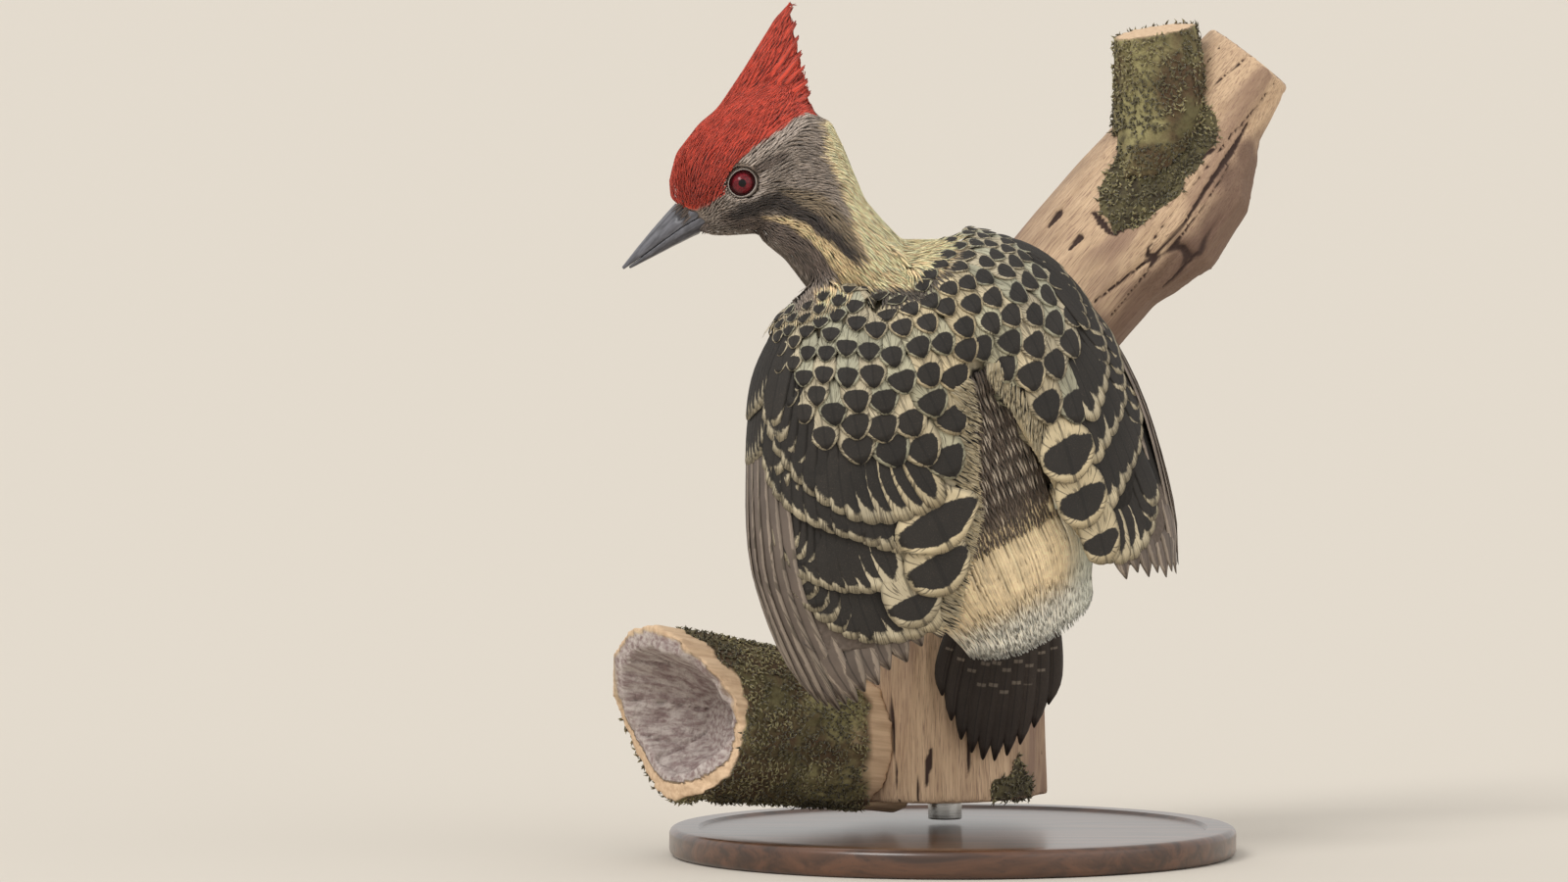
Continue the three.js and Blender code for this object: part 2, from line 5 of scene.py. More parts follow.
import bpy
import numpy as np
from bpy.props import FloatProperty, FloatVectorProperty, PointerProperty
from bpy.types import Operator, Panel, PropertyGroup
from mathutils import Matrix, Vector
from mathutils.bvhtree import BVHTree
from mathutils.kdtree import KDTree


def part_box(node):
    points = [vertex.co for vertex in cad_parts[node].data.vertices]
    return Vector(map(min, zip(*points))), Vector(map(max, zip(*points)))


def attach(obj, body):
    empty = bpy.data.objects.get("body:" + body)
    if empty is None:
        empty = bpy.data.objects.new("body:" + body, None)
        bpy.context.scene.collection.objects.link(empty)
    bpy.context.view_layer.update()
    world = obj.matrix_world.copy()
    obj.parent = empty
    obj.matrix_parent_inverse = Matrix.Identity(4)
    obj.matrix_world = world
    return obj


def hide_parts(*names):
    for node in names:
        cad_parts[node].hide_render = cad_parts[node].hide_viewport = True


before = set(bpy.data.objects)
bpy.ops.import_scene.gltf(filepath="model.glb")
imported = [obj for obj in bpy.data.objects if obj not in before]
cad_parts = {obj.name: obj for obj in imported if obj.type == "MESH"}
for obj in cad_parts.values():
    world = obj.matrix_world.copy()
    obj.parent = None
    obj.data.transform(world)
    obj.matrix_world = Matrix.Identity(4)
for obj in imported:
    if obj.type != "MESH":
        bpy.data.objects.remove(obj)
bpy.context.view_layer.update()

bl_info = {
    "name": "Grey-and-buff woodpecker",
    "version": (1, 0, 0),
    "blender": (4, 5, 0),
    "location": "3D View > Sidebar > Woodpecker",
    "description": "Dresses the CAD frame of a woodpecker with skin, feathers, perch and stand",
    "category": "Add Mesh",
}

# Lengths in this file are millimetres; meshes are written in metres.
MM = 0.001

FLESH = ("torso", "neck", "head", "crest", "wing_left", "wing_right", "leg_left", "leg_right")
FEET = ("foot_left", "foot_right")
EYES = ("eye_left", "eye_right")
BILL = ("bill_upper", "bill_lower")
SIDES = {"left": 1, "right": -1}          # in head coordinates, where the bird's left is plus
MOST_TRIANGLES = 190000                   # in one piece


# ---- numbers ----
def unit(v):
    return v / np.maximum(np.linalg.norm(v, axis=-1, keepdims=True), 1e-9)


def dot(a, b):
    return (a * b).sum(-1, keepdims=True)


def lerp(a, b, t):
    a, b = np.asarray(a, float), np.asarray(b, float)
    return a + (b - a) * t


def smooth(low, high, x):
    t = np.clip((x - low) / (high - low), 0, 1)
    return t * t * (3 - 2 * t)


def far_from(points, place):
    return np.linalg.norm(points - place, axis=-1)


def keyed(*pairs):
    """A smooth curve through (place, value) pairs, level past both ends."""
    at, value = np.array(pairs, float).T
    before, after = np.maximum(np.arange(len(at)) - 1, 0), np.minimum(np.arange(len(at)) + 1, len(at) - 1)
    slope = (value[after] - value[before]) / (at[after] - at[before])

    def curve(x):
        x = np.clip(x, at[0], at[-1])
        i = np.clip(np.searchsorted(at, x, side="right") - 1, 0, len(at) - 2)
        span = at[i + 1] - at[i]
        t = (x - at[i]) / span
        rise = t * t * (3 - 2 * t)
        lean = slope[i] * t * (1 - t) ** 2 - slope[i + 1] * t * t * (1 - t)
        return value[i] + (value[i + 1] - value[i]) * rise + span * lean

    return curve


def resample(lines, places, wanted):
    """Lines of points that lie at some places, read at the wanted ones."""
    low = np.clip(np.searchsorted(places, wanted, side="right") - 1, 0, len(places) - 2)
    share = (wanted - places[low]) / (places[low + 1] - places[low])
    return lerp(lines[:, low], lines[:, low + 1], share[None, :, None])


def chance(corner, seed=0):
    """A repeatable number from 0 to 1 for each whole-numbered corner."""
    mixed = corner[..., 0] * 12.9898 + corner[..., 1] * 78.233 + corner[..., 2] * 37.719 + seed * 4.581
    return np.mod(np.sin(mixed) * 43758.5453, 1)


def noise(points, size, seed=0):
    """Smooth noise from 0 to 1 with lumps of the given size."""
    p = points / size
    cell = np.floor(p)
    t = p - cell
    t = t * t * (3 - 2 * t)
    total = 0
    for step in np.ndindex(2, 2, 2):
        weight = np.where(step, t, 1 - t)
        total = total + weight[..., 0] * weight[..., 1] * weight[..., 2] * chance(cell + step, seed)
    return total


def paint(red, green, blue):
    """A display colour from 0 to 255 as the linear colour that materials use."""
    c = np.array((red, green, blue), float) / 255
    return tuple(np.where(c <= 0.04045, c / 12.92, ((c + 0.055) / 1.055) ** 2.4).tolist())


def jitter(colours, seed, amount=0.1, many=None):
    """Colours made a little lighter or darker at random; one colour is first repeated for many."""
    if many:
        colours = np.tile(colours, (many, 1))
    dice = np.random.default_rng(seed)
    return np.clip(colours * (1 + amount * (dice.random((len(colours), 1)) * 2 - 1)), 0, 1)


# ---- frames of the body, the head and the wings ----
class Frame:
    """An origin and three square axes."""

    def __init__(self, origin, *axes):
        self.origin = np.array(origin, float)
        self.axes = np.array(axes, float)

    def out(self, local):
        return self.origin + np.asarray(local, float) @ self.axes

    def within(self, world):
        return (world - self.origin) @ self.axes.T

    def turn(self, direction):
        return np.asarray(direction, float) @ self.axes


BODY_LEAN_LEFT, BODY_LEAN_OUT, BODY_TURN = np.radians((22, 13, 25))
BILL_DROP = math.radians(42)


def body_frame():
    """x to the bird's right, y to its belly, z to its neck."""
    up = np.array((-math.sin(BODY_LEAN_LEFT) * math.cos(BODY_LEAN_OUT), -math.sin(BODY_LEAN_OUT),
                   math.cos(BODY_LEAN_LEFT) * math.cos(BODY_LEAN_OUT)))
    front = np.array((-math.sin(BODY_TURN), math.cos(BODY_TURN), 0))
    front = unit(front - up * (front @ up))
    return Frame((-1.4, -27, 77.2), np.cross(front, up), front, up)


def head_frame():
    """x along the bill, y to the bird's left, z to its crown."""
    c, s = math.cos(BILL_DROP), math.sin(BILL_DROP)
    return Frame((-35.2, -35, 121.7), (-c, 0, -s), (0, -1, 0), (-s, 0, c))


BODY = body_frame()
HEAD = head_frame()
SKULL = (-3, 0, 0)                        # the middle of the skull in head coordinates
EYE_AT = (2.6, 5.4, -0.3)                 # forward, side, up
EYE_RADIUS = 2.8
SOCKET = 3                                # the radius of the cup in the skin round an eyeball
ANKLE = -18.5                             # the height on the body below which a leg is bare
SHOULDER = (58, 36)                       # degrees and height of the place that wing feathers fan from
NECK_LINE = np.array((BODY.out((1.2, 0, 18)), (-16.6, -34, 104.2), (-22.7, -34.8, 111.5),
                      (-26.6, -35, 117.4)))
NECK_RADIUS = 8.5

wing_rise = keyed((-40, 12.5), (-25, 15.5), (-8, 18.2), (8, 20), (20, 20.2), (28, 16.5), (34, 9.5))


class Wing:
    """A folded wing as a curved sheet, given by degrees from the spine and height on the body."""

    def __init__(self, name, side, reach, tips):
        self.name, self.side, self.reach, self.tips = name, side, reach, tips

    def place(self, degrees, z, lift=0.0):
        a = np.radians(degrees)
        x = self.side * (self.reach(z) + lift) * np.sin(a)
        y = -(wing_rise(z) + lift) * np.cos(a)
        return BODY.out(np.stack((x, y, z + 0 * a), -1))

    def outward(self, degrees, z):
        over = self.place(degrees + 1, z) - self.place(degrees - 1, z)
        up = self.place(degrees, z + 1) - self.place(degrees, z - 1)
        return unit(np.cross(over, up) * self.side)

    def degrees(self, body):
        z = body[..., 2]
        return np.degrees(np.arctan2(self.side * body[..., 0] / self.reach(z), -body[..., 1] / wing_rise(z)))

    def mine(self, body):
        """Which points lie on this wing's side of the spine."""
        return body[:, 0] * self.side > 0

    def faces_out(self, form):
        """How far each face of the bird's form looks out of this wing."""
        outward = self.outward(np.clip(self.degrees(form.body), 0, 100), form.body[:, 2])
        return (form.surface.face_normals * outward).sum(1)


WINGS = (
    Wing("left", -1,
         keyed((-38, 42), (-25, 45), (-10, 43.8), (0, 40.8), (10, 36.3), (22, 30.5), (28, 26), (31, 22),
               (35, 13)),
         keyed((0, -28.5), (0.2, -30.5), (0.45, -33.5), (0.65, -34), (0.8, -31.5), (0.9, -28), (1, -24))),
    Wing("right", 1,
         keyed((-42, 31.5), (-33, 34.2), (-15, 35), (0, 34), (8, 32), (17, 29), (24, 24.5), (29, 18.5),
               (34, 11)),
         keyed((0, -36), (0.3, -40.5), (0.5, -41.5), (0.8, -39), (1, -32))),
)


# ---- meshes ----
def pick(*pieces):
    """Selects just these pieces and makes the last one active."""
    bpy.ops.object.select_all(action="DESELECT")
    for piece in pieces:
        piece.select_set(True)
        bpy.context.view_layer.objects.active = piece


def in_edit(step):
    """Runs a step on the whole active mesh in edit mode."""
    bpy.ops.object.mode_set(mode="EDIT")
    bpy.ops.mesh.select_all(action="SELECT")
    step()
    bpy.ops.object.mode_set(mode="OBJECT")


def select_in_edit(piece, kind, items, wanted):
    """Selects just the wanted points or faces of a piece and leaves it in edit mode."""
    pick(piece)
    bpy.ops.object.mode_set(mode="EDIT")
    bpy.ops.mesh.select_all(action="DESELECT")
    bpy.ops.mesh.select_mode(type=kind)
    bpy.ops.object.mode_set(mode="OBJECT")
    for item, chosen in zip(items, wanted):
        item.select = bool(chosen)
    bpy.ops.object.mode_set(mode="EDIT")


def new_piece(label, mesh):
    piece = bpy.data.objects.new(label, mesh)
    mesh.name = label
    bpy.context.scene.collection.objects.link(piece)
    return piece


def primitive(label, add, **settings):
    """A new primitive with its place in its mesh."""
    pick()
    add(**settings)
    piece = bpy.context.object
    piece.name = piece.data.name = label
    bpy.ops.object.transform_apply(location=True, rotation=True, scale=True)
    return piece


def copy_of(label, *nodes):
    """One loose copy of the meshes of CAD nodes, with their doubled points merged."""
    pieces = []
    for node in nodes:
        piece = new_piece(label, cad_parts[node].data.copy())
        piece.data.materials.clear()
        pick(piece)
        in_edit(lambda: bpy.ops.mesh.remove_doubles(threshold=1e-6))
        pieces.append(piece)
    pick(*pieces)
    if len(pieces) > 1:
        bpy.ops.object.join()
    piece.name = label
    return piece


def modify(piece, kind, **settings):
    """Adds a modifier to a piece and applies it."""
    pick(piece)
    modifier = piece.modifiers.new(kind.title(), kind)
    for key, value in settings.items():
        setattr(modifier, key, value)
    bpy.ops.object.modifier_apply(modifier=modifier.name)


def remesh(piece, voxel, passes=0, swell=0):
    """Swells a piece a little, gives it even faces and smooths them."""
    if swell:
        modify(piece, "DISPLACE", strength=swell * MM, mid_level=0)
    modify(piece, "REMESH", mode="VOXEL", voxel_size=voxel * MM)
    if passes:
        modify(piece, "SMOOTH", factor=0.5, iterations=passes)


def subdivide(piece, levels):
    modify(piece, "SUBSURF", levels=levels, render_levels=levels)


def read(items, field, size, kind=np.float32):
    """A number or vector of each point, edge or corner, as rows of an array."""
    values = np.empty(len(items) * size, kind)
    items.foreach_get(field, values)
    return values.reshape(-1, size)


def points_of(piece):
    return read(piece.data.vertices, "co", 3).astype(float) / MM


def normals_of(piece):
    return read(piece.data.vertices, "normal", 3).astype(float)


def set_points(piece, points):
    piece.data.vertices.foreach_set("co", (points * MM).astype(np.float32).ravel())
    piece.data.update()


def set_layer(piece, name, values, kind="FLOAT", field="value"):
    """Stores a number for each point, or what kind and field say."""
    layer = piece.data.attributes.new(name, kind, "POINT")
    layer.data.foreach_set(field, np.asarray(values, np.float32).ravel())


def set_vector(piece, name, vectors):
    set_layer(piece, name, vectors, "FLOAT_VECTOR", "vector")


def set_colour(piece, name, colours):
    set_layer(piece, name, np.insert(colours, 3, 1, axis=1), "FLOAT_COLOR", "color")


def mesh_of(label, points, faces):
    """A new piece from points in millimetres and four-sided faces."""
    mesh = bpy.data.meshes.new(label)
    mesh.vertices.add(len(points))
    mesh.vertices.foreach_set("co", (points * MM).astype(np.float32).ravel())
    mesh.loops.add(faces.size)
    mesh.loops.foreach_set("vertex_index", faces.astype(np.int32).ravel())
    mesh.polygons.add(len(faces))
    mesh.polygons.foreach_set("loop_start", np.arange(0, faces.size, faces.shape[1], dtype=np.int32))
    mesh.update(calc_edges=True)
    mesh.shade_smooth()
    return new_piece(label, mesh)


def settle_in(piece, slot, replaced, *materials):
    """Gives a piece its materials, hangs it under the root and hides its CAD nodes; the slot is not used."""
    piece.data.materials.clear()
    for material in materials:
        piece.data.materials.append(material)
    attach(piece, "root")
    if replaced:
        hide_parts(*replaced)


def even_normals(normals, edges, passes):
    """Evens out normals over neighbouring points."""
    a, b = edges.T
    for _ in range(passes):
        total = normals.copy()
        for axis in range(3):
            total[:, axis] += np.bincount(a, normals[b, axis], len(normals))
            total[:, axis] += np.bincount(b, normals[a, axis], len(normals))
        normals = unit(total)
    return normals


def even_numbers(values, edges, passes):
    """Averages numbers over neighbouring points."""
    a, b = edges.T
    count = 1 + np.bincount(a, minlength=len(values)) + np.bincount(b, minlength=len(values))
    for _ in range(passes):
        total = values + np.bincount(a, values[b], len(values)) + np.bincount(b, values[a], len(values))
        values = total / count
    return values


def point_tree(points):
    tree = KDTree(len(points))
    for i, point in enumerate(points.tolist()):
        tree.insert(point, i)
    tree.balance()
    return tree


def node_tree(names):
    """A search tree over the faces of CAD nodes, and the index of each face's node."""
    corners, faces, owner = [], [], []
    for i, name in enumerate(names):
        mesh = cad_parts[name].data
        start = len(corners)
        corners.extend(tuple(v.co / MM) for v in mesh.vertices)
        faces.extend(tuple(start + k for k in face.vertices) for face in mesh.polygons)
        owner.extend([i] * len(mesh.polygons))
    return BVHTree.FromPolygons(corners, faces), np.array(owner)


def nearest_node(points):
    """The index in FLESH of the CAD node nearest to each point, and of the feet after them."""
    tree, owner = node_tree(FLESH + FEET)
    return owner[[tree.find_nearest(p)[2] for p in points.tolist()]]


def near_bill(points):
    """How far each point is from the bill."""
    tree, _ = node_tree(BILL)
    return np.array([tree.find_nearest(p)[3] for p in points.tolist()])


def is_one_of(owner, *names):
    return np.isin(owner, [(FLESH + FEET).index(name) for name in names])


class Surface:
    """A closed form on which feathers are laid."""

    def __init__(self, piece, passes=6):
        self.points = points_of(piece)
        self.edges = read(piece.data.edges, "vertices", 2, np.int32)
        faces = [tuple(face.vertices) for face in piece.data.polygons]
        self.tree = BVHTree.FromPolygons(self.points.tolist(), faces)
        self.corners = np.array([face[:4] if len(face) > 3 else face + face[-1:] for face in faces])
        self.face_normals = unit(even_normals(normals_of(piece), self.edges, passes)[self.corners].mean(1))
        corner = self.points[self.corners]
        self.centres = corner.mean(1)
        across, down = corner[:, 2] - corner[:, 0], corner[:, 3] - corner[:, 1]
        self.areas = 0.5 * np.linalg.norm(np.cross(across, down), axis=1)

    def nearest(self, points):
        found = [self.tree.find_nearest(p) for p in points.reshape(-1, 3).tolist()]
        spots = np.array([tuple(f[0]) for f in found]).reshape(points.shape)
        return spots, np.array([f[2] for f in found]).reshape(points.shape[:-1])

    def settle(self, points):
        spots, faces = self.nearest(points)
        return spots, self.face_normals[faces]

    def scatter(self, wanted, spacing, seed):
        """Seeded roots over the faces that are wanted, about a spacing apart, and the face of each."""
        dice = np.random.default_rng(seed)
        faces = np.flatnonzero(wanted)
        spacing = np.broadcast_to(spacing, len(self.areas))
        crowd = 0.16                      # the area that each try takes, in squared spacings
        tries = self.areas[faces] / (spacing[faces] * spacing[faces] * crowd)
        count = np.floor(tries + dice.random(len(faces))).astype(int)
        face = np.repeat(faces, count)
        a, b = dice.random((2, len(face), 1))
        corner = self.points[self.corners[face]]
        roots = lerp(lerp(corner[:, 0], corner[:, 1], a), lerp(corner[:, 3], corner[:, 2], a), b)
        order = dice.permutation(len(roots))
        roots, face = roots[order], face[order]
        tree = point_tree(roots)
        is_open = np.ones(len(roots), bool)
        kept = []
        for i, root in enumerate(roots.tolist()):
            if is_open[i]:
                kept.append(i)
                for _, j, _ in tree.find_range(root, spacing[face[i]]):
                    is_open[j] = False
        return roots[kept], face[kept]

    def spread_out(self, roots, spacing_at, wanted, passes=24):
        """Pushes roots apart until they lie evenly, and drops those that are still crowded."""
        for _ in range(passes):
            reach = 1.15 * spacing_at(roots)
            apart = roots[:, None] - roots[None]
            gap = np.linalg.norm(apart, axis=2) + 1e-6
            push = np.clip(1 - gap / reach[:, None], 0, 1) * (gap > 1e-5)
            moved = roots + 0.45 * reach[:, None] * (apart / gap[..., None] * push[..., None]).sum(1)
            moved, face = self.nearest(moved)
            roots = np.where(wanted[face][:, None], moved, roots)
        spacing = spacing_at(roots)
        kept = []
        for i, root in enumerate(roots):
            if not kept or far_from(roots[kept], root).min() > 0.62 * spacing[i]:
                kept.append(i)
        return roots[kept]


# Where feathers point: (place, way) pairs in head or body coordinates. Those beside the middle count on
# both sides.
HEAD_MIDDLE_WAYS = (
    ((13.5, 0, 4), (-0.35, 0, 0.94)), ((11.5, 0, 7.5), (-0.75, 0, 0.66)), ((5, 0, 10.5), (-0.95, 0, 0.3)),
    ((-5, 0, 11.5), (-0.96, 0, 0.28)), ((-14, 0, 14), (-0.93, 0, 0.36)), ((-22, 0, 17), (-0.92, 0, 0.38)),
    ((-14, 0, 3), (-0.96, 0, -0.1)), ((-15.5, 0, -2), (-0.5, 0, -0.86)), ((11, 0, -5), (-0.85, 0, -0.5)),
    ((4, 0, -10), (-0.6, 0, -0.8)),
)
HEAD_SIDE_WAYS = (
    ((12, 3, 4), (-0.5, 0.2, 0.8)), ((10, 4, 1.5), (-0.9, 0.2, 0.4)), ((12, 3, -1.5), (-0.95, 0.3, 0)),
    ((9, 4, -4), (-0.93, 0.2, -0.3)), ((8, 6, 5), (-0.9, 0.2, 0.4)), ((3, 7, 4.5), (-0.96, 0.1, 0.2)),
    ((-3, 8, 3), (-0.97, 0, 0.2)), ((-3, 8, -1), (-0.97, 0, -0.15)), ((5, 6, -5), (-0.92, 0.1, -0.4)),
    ((-3, 8, -6), (-0.82, 0, -0.57)), ((-10, 6, -4), (-0.6, 0, -0.8)), ((-10, 7, 3), (-0.96, 0, 0.15)),
    ((-13, 3, 8), (-0.95, 0, 0.28)), ((1, 6, -9), (-0.65, 0, -0.76)),
)
BODY_MIDDLE_WAYS = (
    ((0, -16, 30), (0, -0.3, -0.95)), ((0, -18, 18), (0, 0, -1)), ((0, -16, 0), (0, 0.1, -1)),
    ((0, -10, -26), (0, 0.25, -0.97)), ((0, 12, 32), (0, 0.3, -0.95)), ((0, 17, 18), (0, 0.1, -1)),
    ((0, 15, -8), (0, -0.1, -1)), ((0, 8, -30), (0, -0.3, -0.95)),
)
BODY_SIDE_WAYS = (
    ((11, -10, 32), (0.6, -0.2, -0.8)), ((20, -14, 26), (0.45, 0, -0.9)), ((28, -14, 12), (0.2, 0, -1)),
    ((15, 9, 30), (0.4, 0.1, -0.9)), ((20, 10, 10), (0.1, 0, -1)), ((20, 8, -10), (0, 0, -1)),
    ((12, 0, -32), (-0.1, 0, -1)), ((14, -16, 0), (-0.1, 0, -1)), ((9, 16, -16), (0.3, 0.5, -0.8)),
    ((34, -8, 0), (-0.02, 0, -1)), ((36, -4, -14), (-0.1, 0, -1)), ((20, -15, -16), (-0.25, 0, -1)),
    ((33, 4, 4), (0, 0, -1)), ((36, 4, -16), (-0.1, 0, -1)),
)


class Lie:
    """The way the feathers lie: nearby guides decide, the nearest most of all."""

    def __init__(self):
        self.places, self.ways = [], []
        self.guide(HEAD, HEAD_MIDDLE_WAYS, ((1, 1, 1),))
        self.guide(HEAD, HEAD_SIDE_WAYS, ((1, 1, 1), (1, -1, 1)))
        for above, here in zip(NECK_LINE[:2], NECK_LINE[1:3]):
            down = unit(above - here)
            square = unit(np.cross(down, (0, 1, 0)))
            for side in (square, -square, np.array((0, 1.0, 0)), np.array((0, -1.0, 0))):
                self.places.append(here + side * NECK_RADIUS)
                self.ways.append(down)
        self.guide(BODY, BODY_MIDDLE_WAYS, ((1, 1, 1),))
        self.guide(BODY, BODY_SIDE_WAYS, ((1, 1, 1), (-1, 1, 1)))

    def guide(self, axes, guides, flips):
        for place, way in guides:
            for flip in flips:
                self.places.append(axes.out(np.array(place) * flip))
                self.ways.append(unit(axes.turn(np.array(way) * flip)))

    def at(self, points, normals):
        flat = points.reshape(-1, 3)
        gap = ((flat[:, None] - np.array(self.places)[None]) ** 2).sum(-1)
        weight = 1 / (gap + 1) ** 2
        way = (weight @ np.array(self.ways)) / weight.sum(1, keepdims=True)
        way = way.reshape(points.shape)
        return unit(way - normals * dot(way, normals))


# ---- markings ----
def strokes(points, line):
    """How far inside a tapering stroke each point lies, in mm; line holds (forward, up, half width)."""
    best = np.full(len(points), -99.0)
    for (f0, u0, w0), (f1, u1, w1) in zip(line[:-1], line[1:]):
        start, step = np.array((f0, u0)), np.array((f1 - f0, u1 - u0))
        t = np.clip(((points - start) @ step) / (step @ step), 0, 1)
        gap = np.linalg.norm(points - start - t[:, None] * step, axis=1)
        best = np.maximum(best, lerp(w0, w1, t) - gap)
    return best


CAP_EDGE = keyed((-17, 2.6), (-13, 1.7), (-7.6, 2.3), (-2.4, 2.9), (2.9, 2.9), (4.8, 2.1), (6.5, 0.8),
                 (8.6, 0.6), (11.4, 1.4), (13.3, 3.2))
NAPE_STRIPE = ((-17.2, 1.5, 0.9), (-13.6, -5, 1.9), (-11.6, -11, 2.5), (-10.3, -16, 3), (-8.8, -21, 3.3),
               (-8.3, -25, 3.6))
COLLAR = ((5, -23.5, 1.2), (0.8, -24.6, 1.6), (-3.6, -26.3, 2.8), (-8.5, -28.6, 4), (-14, -29.5, 5),
          (-20, -27, 5))
THROAT_STRIPE = ((4.4, -6.9, 0.2), (1.5, -9.9, 0.6), (0.6, -12.3, 0.9), (-0.3, -14.9, 1), (-0.8, -17.9, 1.2),
                 (-0.8, -20.7, 1.4), (-0.4, -24, 2))
PALE_BROW = ((2.4, 2.7, 0.7), (-2.9, 1.8, 1.2), (-7.2, 1.2, 1.3), (-13, 0.6, 1.1))
EYE_STREAK = ((1, -0.1, 0.5), (-1.8, -0.5, 1), (-5.3, -1.6, 0.7))
CHEEK_BAND = ((7.5, -3.6, 0.8), (4, -4.9, 1.3), (1, -6.2, 1.4), (-0.7, -9.6, 1.3), (-1.9, -13, 1.3),
              (-2.6, -17, 1.3), (-2.7, -20.5, 1.2))
MALAR = ((9, -3, 1), (6.2, -6.5, 1.9), (3.5, -10.8, 2.2), (2.6, -14.9, 2.4), (2.6, -20, 2.2))
EAR_PATCH = ((-0.6, -7.5, 2.2), (-3.4, -12, 3), (-4.2, -17, 2.5), (-3.6, -21.4, 1.6))


def plumage_colours(points, look, owner=None):
    """The colour of every point of the coat, the same for skin and feathers."""
    head = HEAD.within(points)
    body = BODY.within(points)
    side_view = head[:, (0, 2)]
    x, y, z = body.T
    wave = (noise(points, 1.3, 3) - 0.5) * 1.1
    colours = np.tile(np.array(look.underparts), (len(points), 1))

    def lay(colour, share):
        colours[:] = lerp(colours, colour, np.clip(share, 0, 1)[:, None])

    def stroke(colour, line, where, low, high, ragged=1.0):
        lay(colour, smooth(low, high, strokes(side_view, line) + ragged * wave) * where)

    lay(look.fringe_buff, smooth(4, 1, y) * smooth(9, 12, np.abs(x)) * smooth(14, 20, z))
    on_neck = smooth(-27, -24, head[:, 2] + 0.25 * head[:, 0] + wave)
    on_head = smooth(24, 20, far_from(head, (-3, 0, -8))) * on_neck
    lay(look.face, on_head)
    stroke(look.face_pale, PALE_BROW, 0.8 * on_head, -0.5, 0.8)
    lay(look.face_pale, 0.8 * smooth(4.6, 3.2, eye_gap(head) + wave) * on_head)
    stroke(look.malar, MALAR, on_neck, -0.8, 0.8)
    stroke(look.ear, EAR_PATCH, on_neck, -0.8, 0.8)
    stroke(look.cheek, CHEEK_BAND, on_neck, -0.8, 0.6)
    stroke(look.malar, EYE_STREAK, on_head, -0.5, 0.4, 0.5)
    on_collar = smooth(37, 34.5, far_from(head, SKULL))
    stroke(look.collar, COLLAR, on_collar, -0.6, 0.7)
    stroke(look.throat_stripe, THROAT_STRIPE, on_collar, -0.4, 0.4, 0.6)
    stroke(look.nape_stripe, NAPE_STRIPE, on_collar, -0.5, 0.7)
    on_cap = smooth(-0.35, 0.35, side_view[:, 1] - CAP_EDGE(side_view[:, 0]) + 0.5 * wave)
    near_crest = smooth(-30, -27, head[:, 0]) * smooth(26, 24, np.linalg.norm(head[:, 1:], axis=1))
    lay(look.crest, on_cap * near_crest)

    on_back = smooth(-2, -6, y) * smooth(8, 6, np.abs(x)) * smooth(14, 10, z)
    bars = smooth(0.35, 0.75, np.sin(z * 2.9 + 1.2 * np.sin(x * 0.9)) + wave * 0.5)
    lay(look.lower_back, on_back)
    lay(look.lower_back_bar, on_back * bars * 0.7)
    on_rump = smooth(-15.5, -17.5, z + wave) * smooth(9, 3, y)
    lay(look.rump, on_rump)
    lay(look.rump_side, on_rump * smooth(8, 12, x))
    lay(look.rump_tip, on_rump * smooth(-27, -32, z) * 0.8)
    if owner is not None:
        back = is_one_of(owner, "wing_left", "wing_right").astype(float)
        back = np.maximum(back, smooth(10, 12, z) * smooth(32, 31, z) * (y < 0))
        lay(look.spot, back)
        for wing in WINGS:
            degrees, here = wing.degrees(body), back * wing.mine(body)
            lay(look.fringe_buff, here * smooth(0, 3, INNER_EDGE[wing.name](z) + 16 - degrees) * (z < 6))
            arc = ROWS[wing.name][0].arc
            lay(look.quill, here * smooth(1.5, 0.5, z - np.interp(degrees, arc[::-1, 0], arc[::-1, 1])))
        for wing in WINGS:
            spots = spots_of(wing)
            size = spot_spacing(spots, wing)
            tree = point_tree(spots)
            near = [tree.find(point) for point in points.tolist()]
            ring = np.array([gap / size[i] for _, i, gap in near])
            lay(look.fringe, smooth(0.3, 0.4, ring) * smooth(1.0, 0.9, ring) * back * 0.9)
    return colours


# ---- feathers ----
class GridUnwrap:
    """Places for baking on pieces that aren't coat: a plain grid."""

    def spot(self, roots):
        wide = int(math.ceil(math.sqrt(len(roots))))
        order = np.arange(len(roots))
        return np.stack(((order % wide + 0.5) / wide, (order // wide + 0.5) / wide), 1)


class Coat:
    """Many closed vanes gathered into one mesh."""

    def __init__(self, unwrap=None):
        self.points, self.faces, self.numbers, self.count = [], [], {}, 0
        self.unwrap = unwrap or bird()

    def add(self, points, faces, **numbers):
        self.points.append(points)
        self.faces.append(faces + self.count)
        self.count += len(points)
        for key, value in numbers.items():
            self.numbers.setdefault(key, []).append(value)

    def finish(self, label, slot, replaced, material):
        """Makes the mesh, with the vane's own map, the map for baking and the colours on its points."""
        faces = np.concatenate(self.faces)
        if len(faces) * 2 > MOST_TRIANGLES:
            raise RuntimeError(f"{label} has {len(faces) * 2} triangles")
        piece = mesh_of(label, np.concatenate(self.points), faces)
        numbers = {key: np.concatenate(value) for key, value in self.numbers.items()}
        for key, name in (("vane", "Vane"), ("bake", "OFBake")):
            layer = piece.data.uv_layers.new(name=name)
            layer.data.foreach_set("uv", numbers[key][faces.ravel()].astype(np.float32).ravel())
        set_colour(piece, "tone", numbers["tone"])
        set_colour(piece, "tip", numbers["tip"])
        set_vector(piece, "mark", numbers["mark"])
        set_layer(piece, "seed", numbers["seed"])
        settle_in(piece, slot, replaced, material)


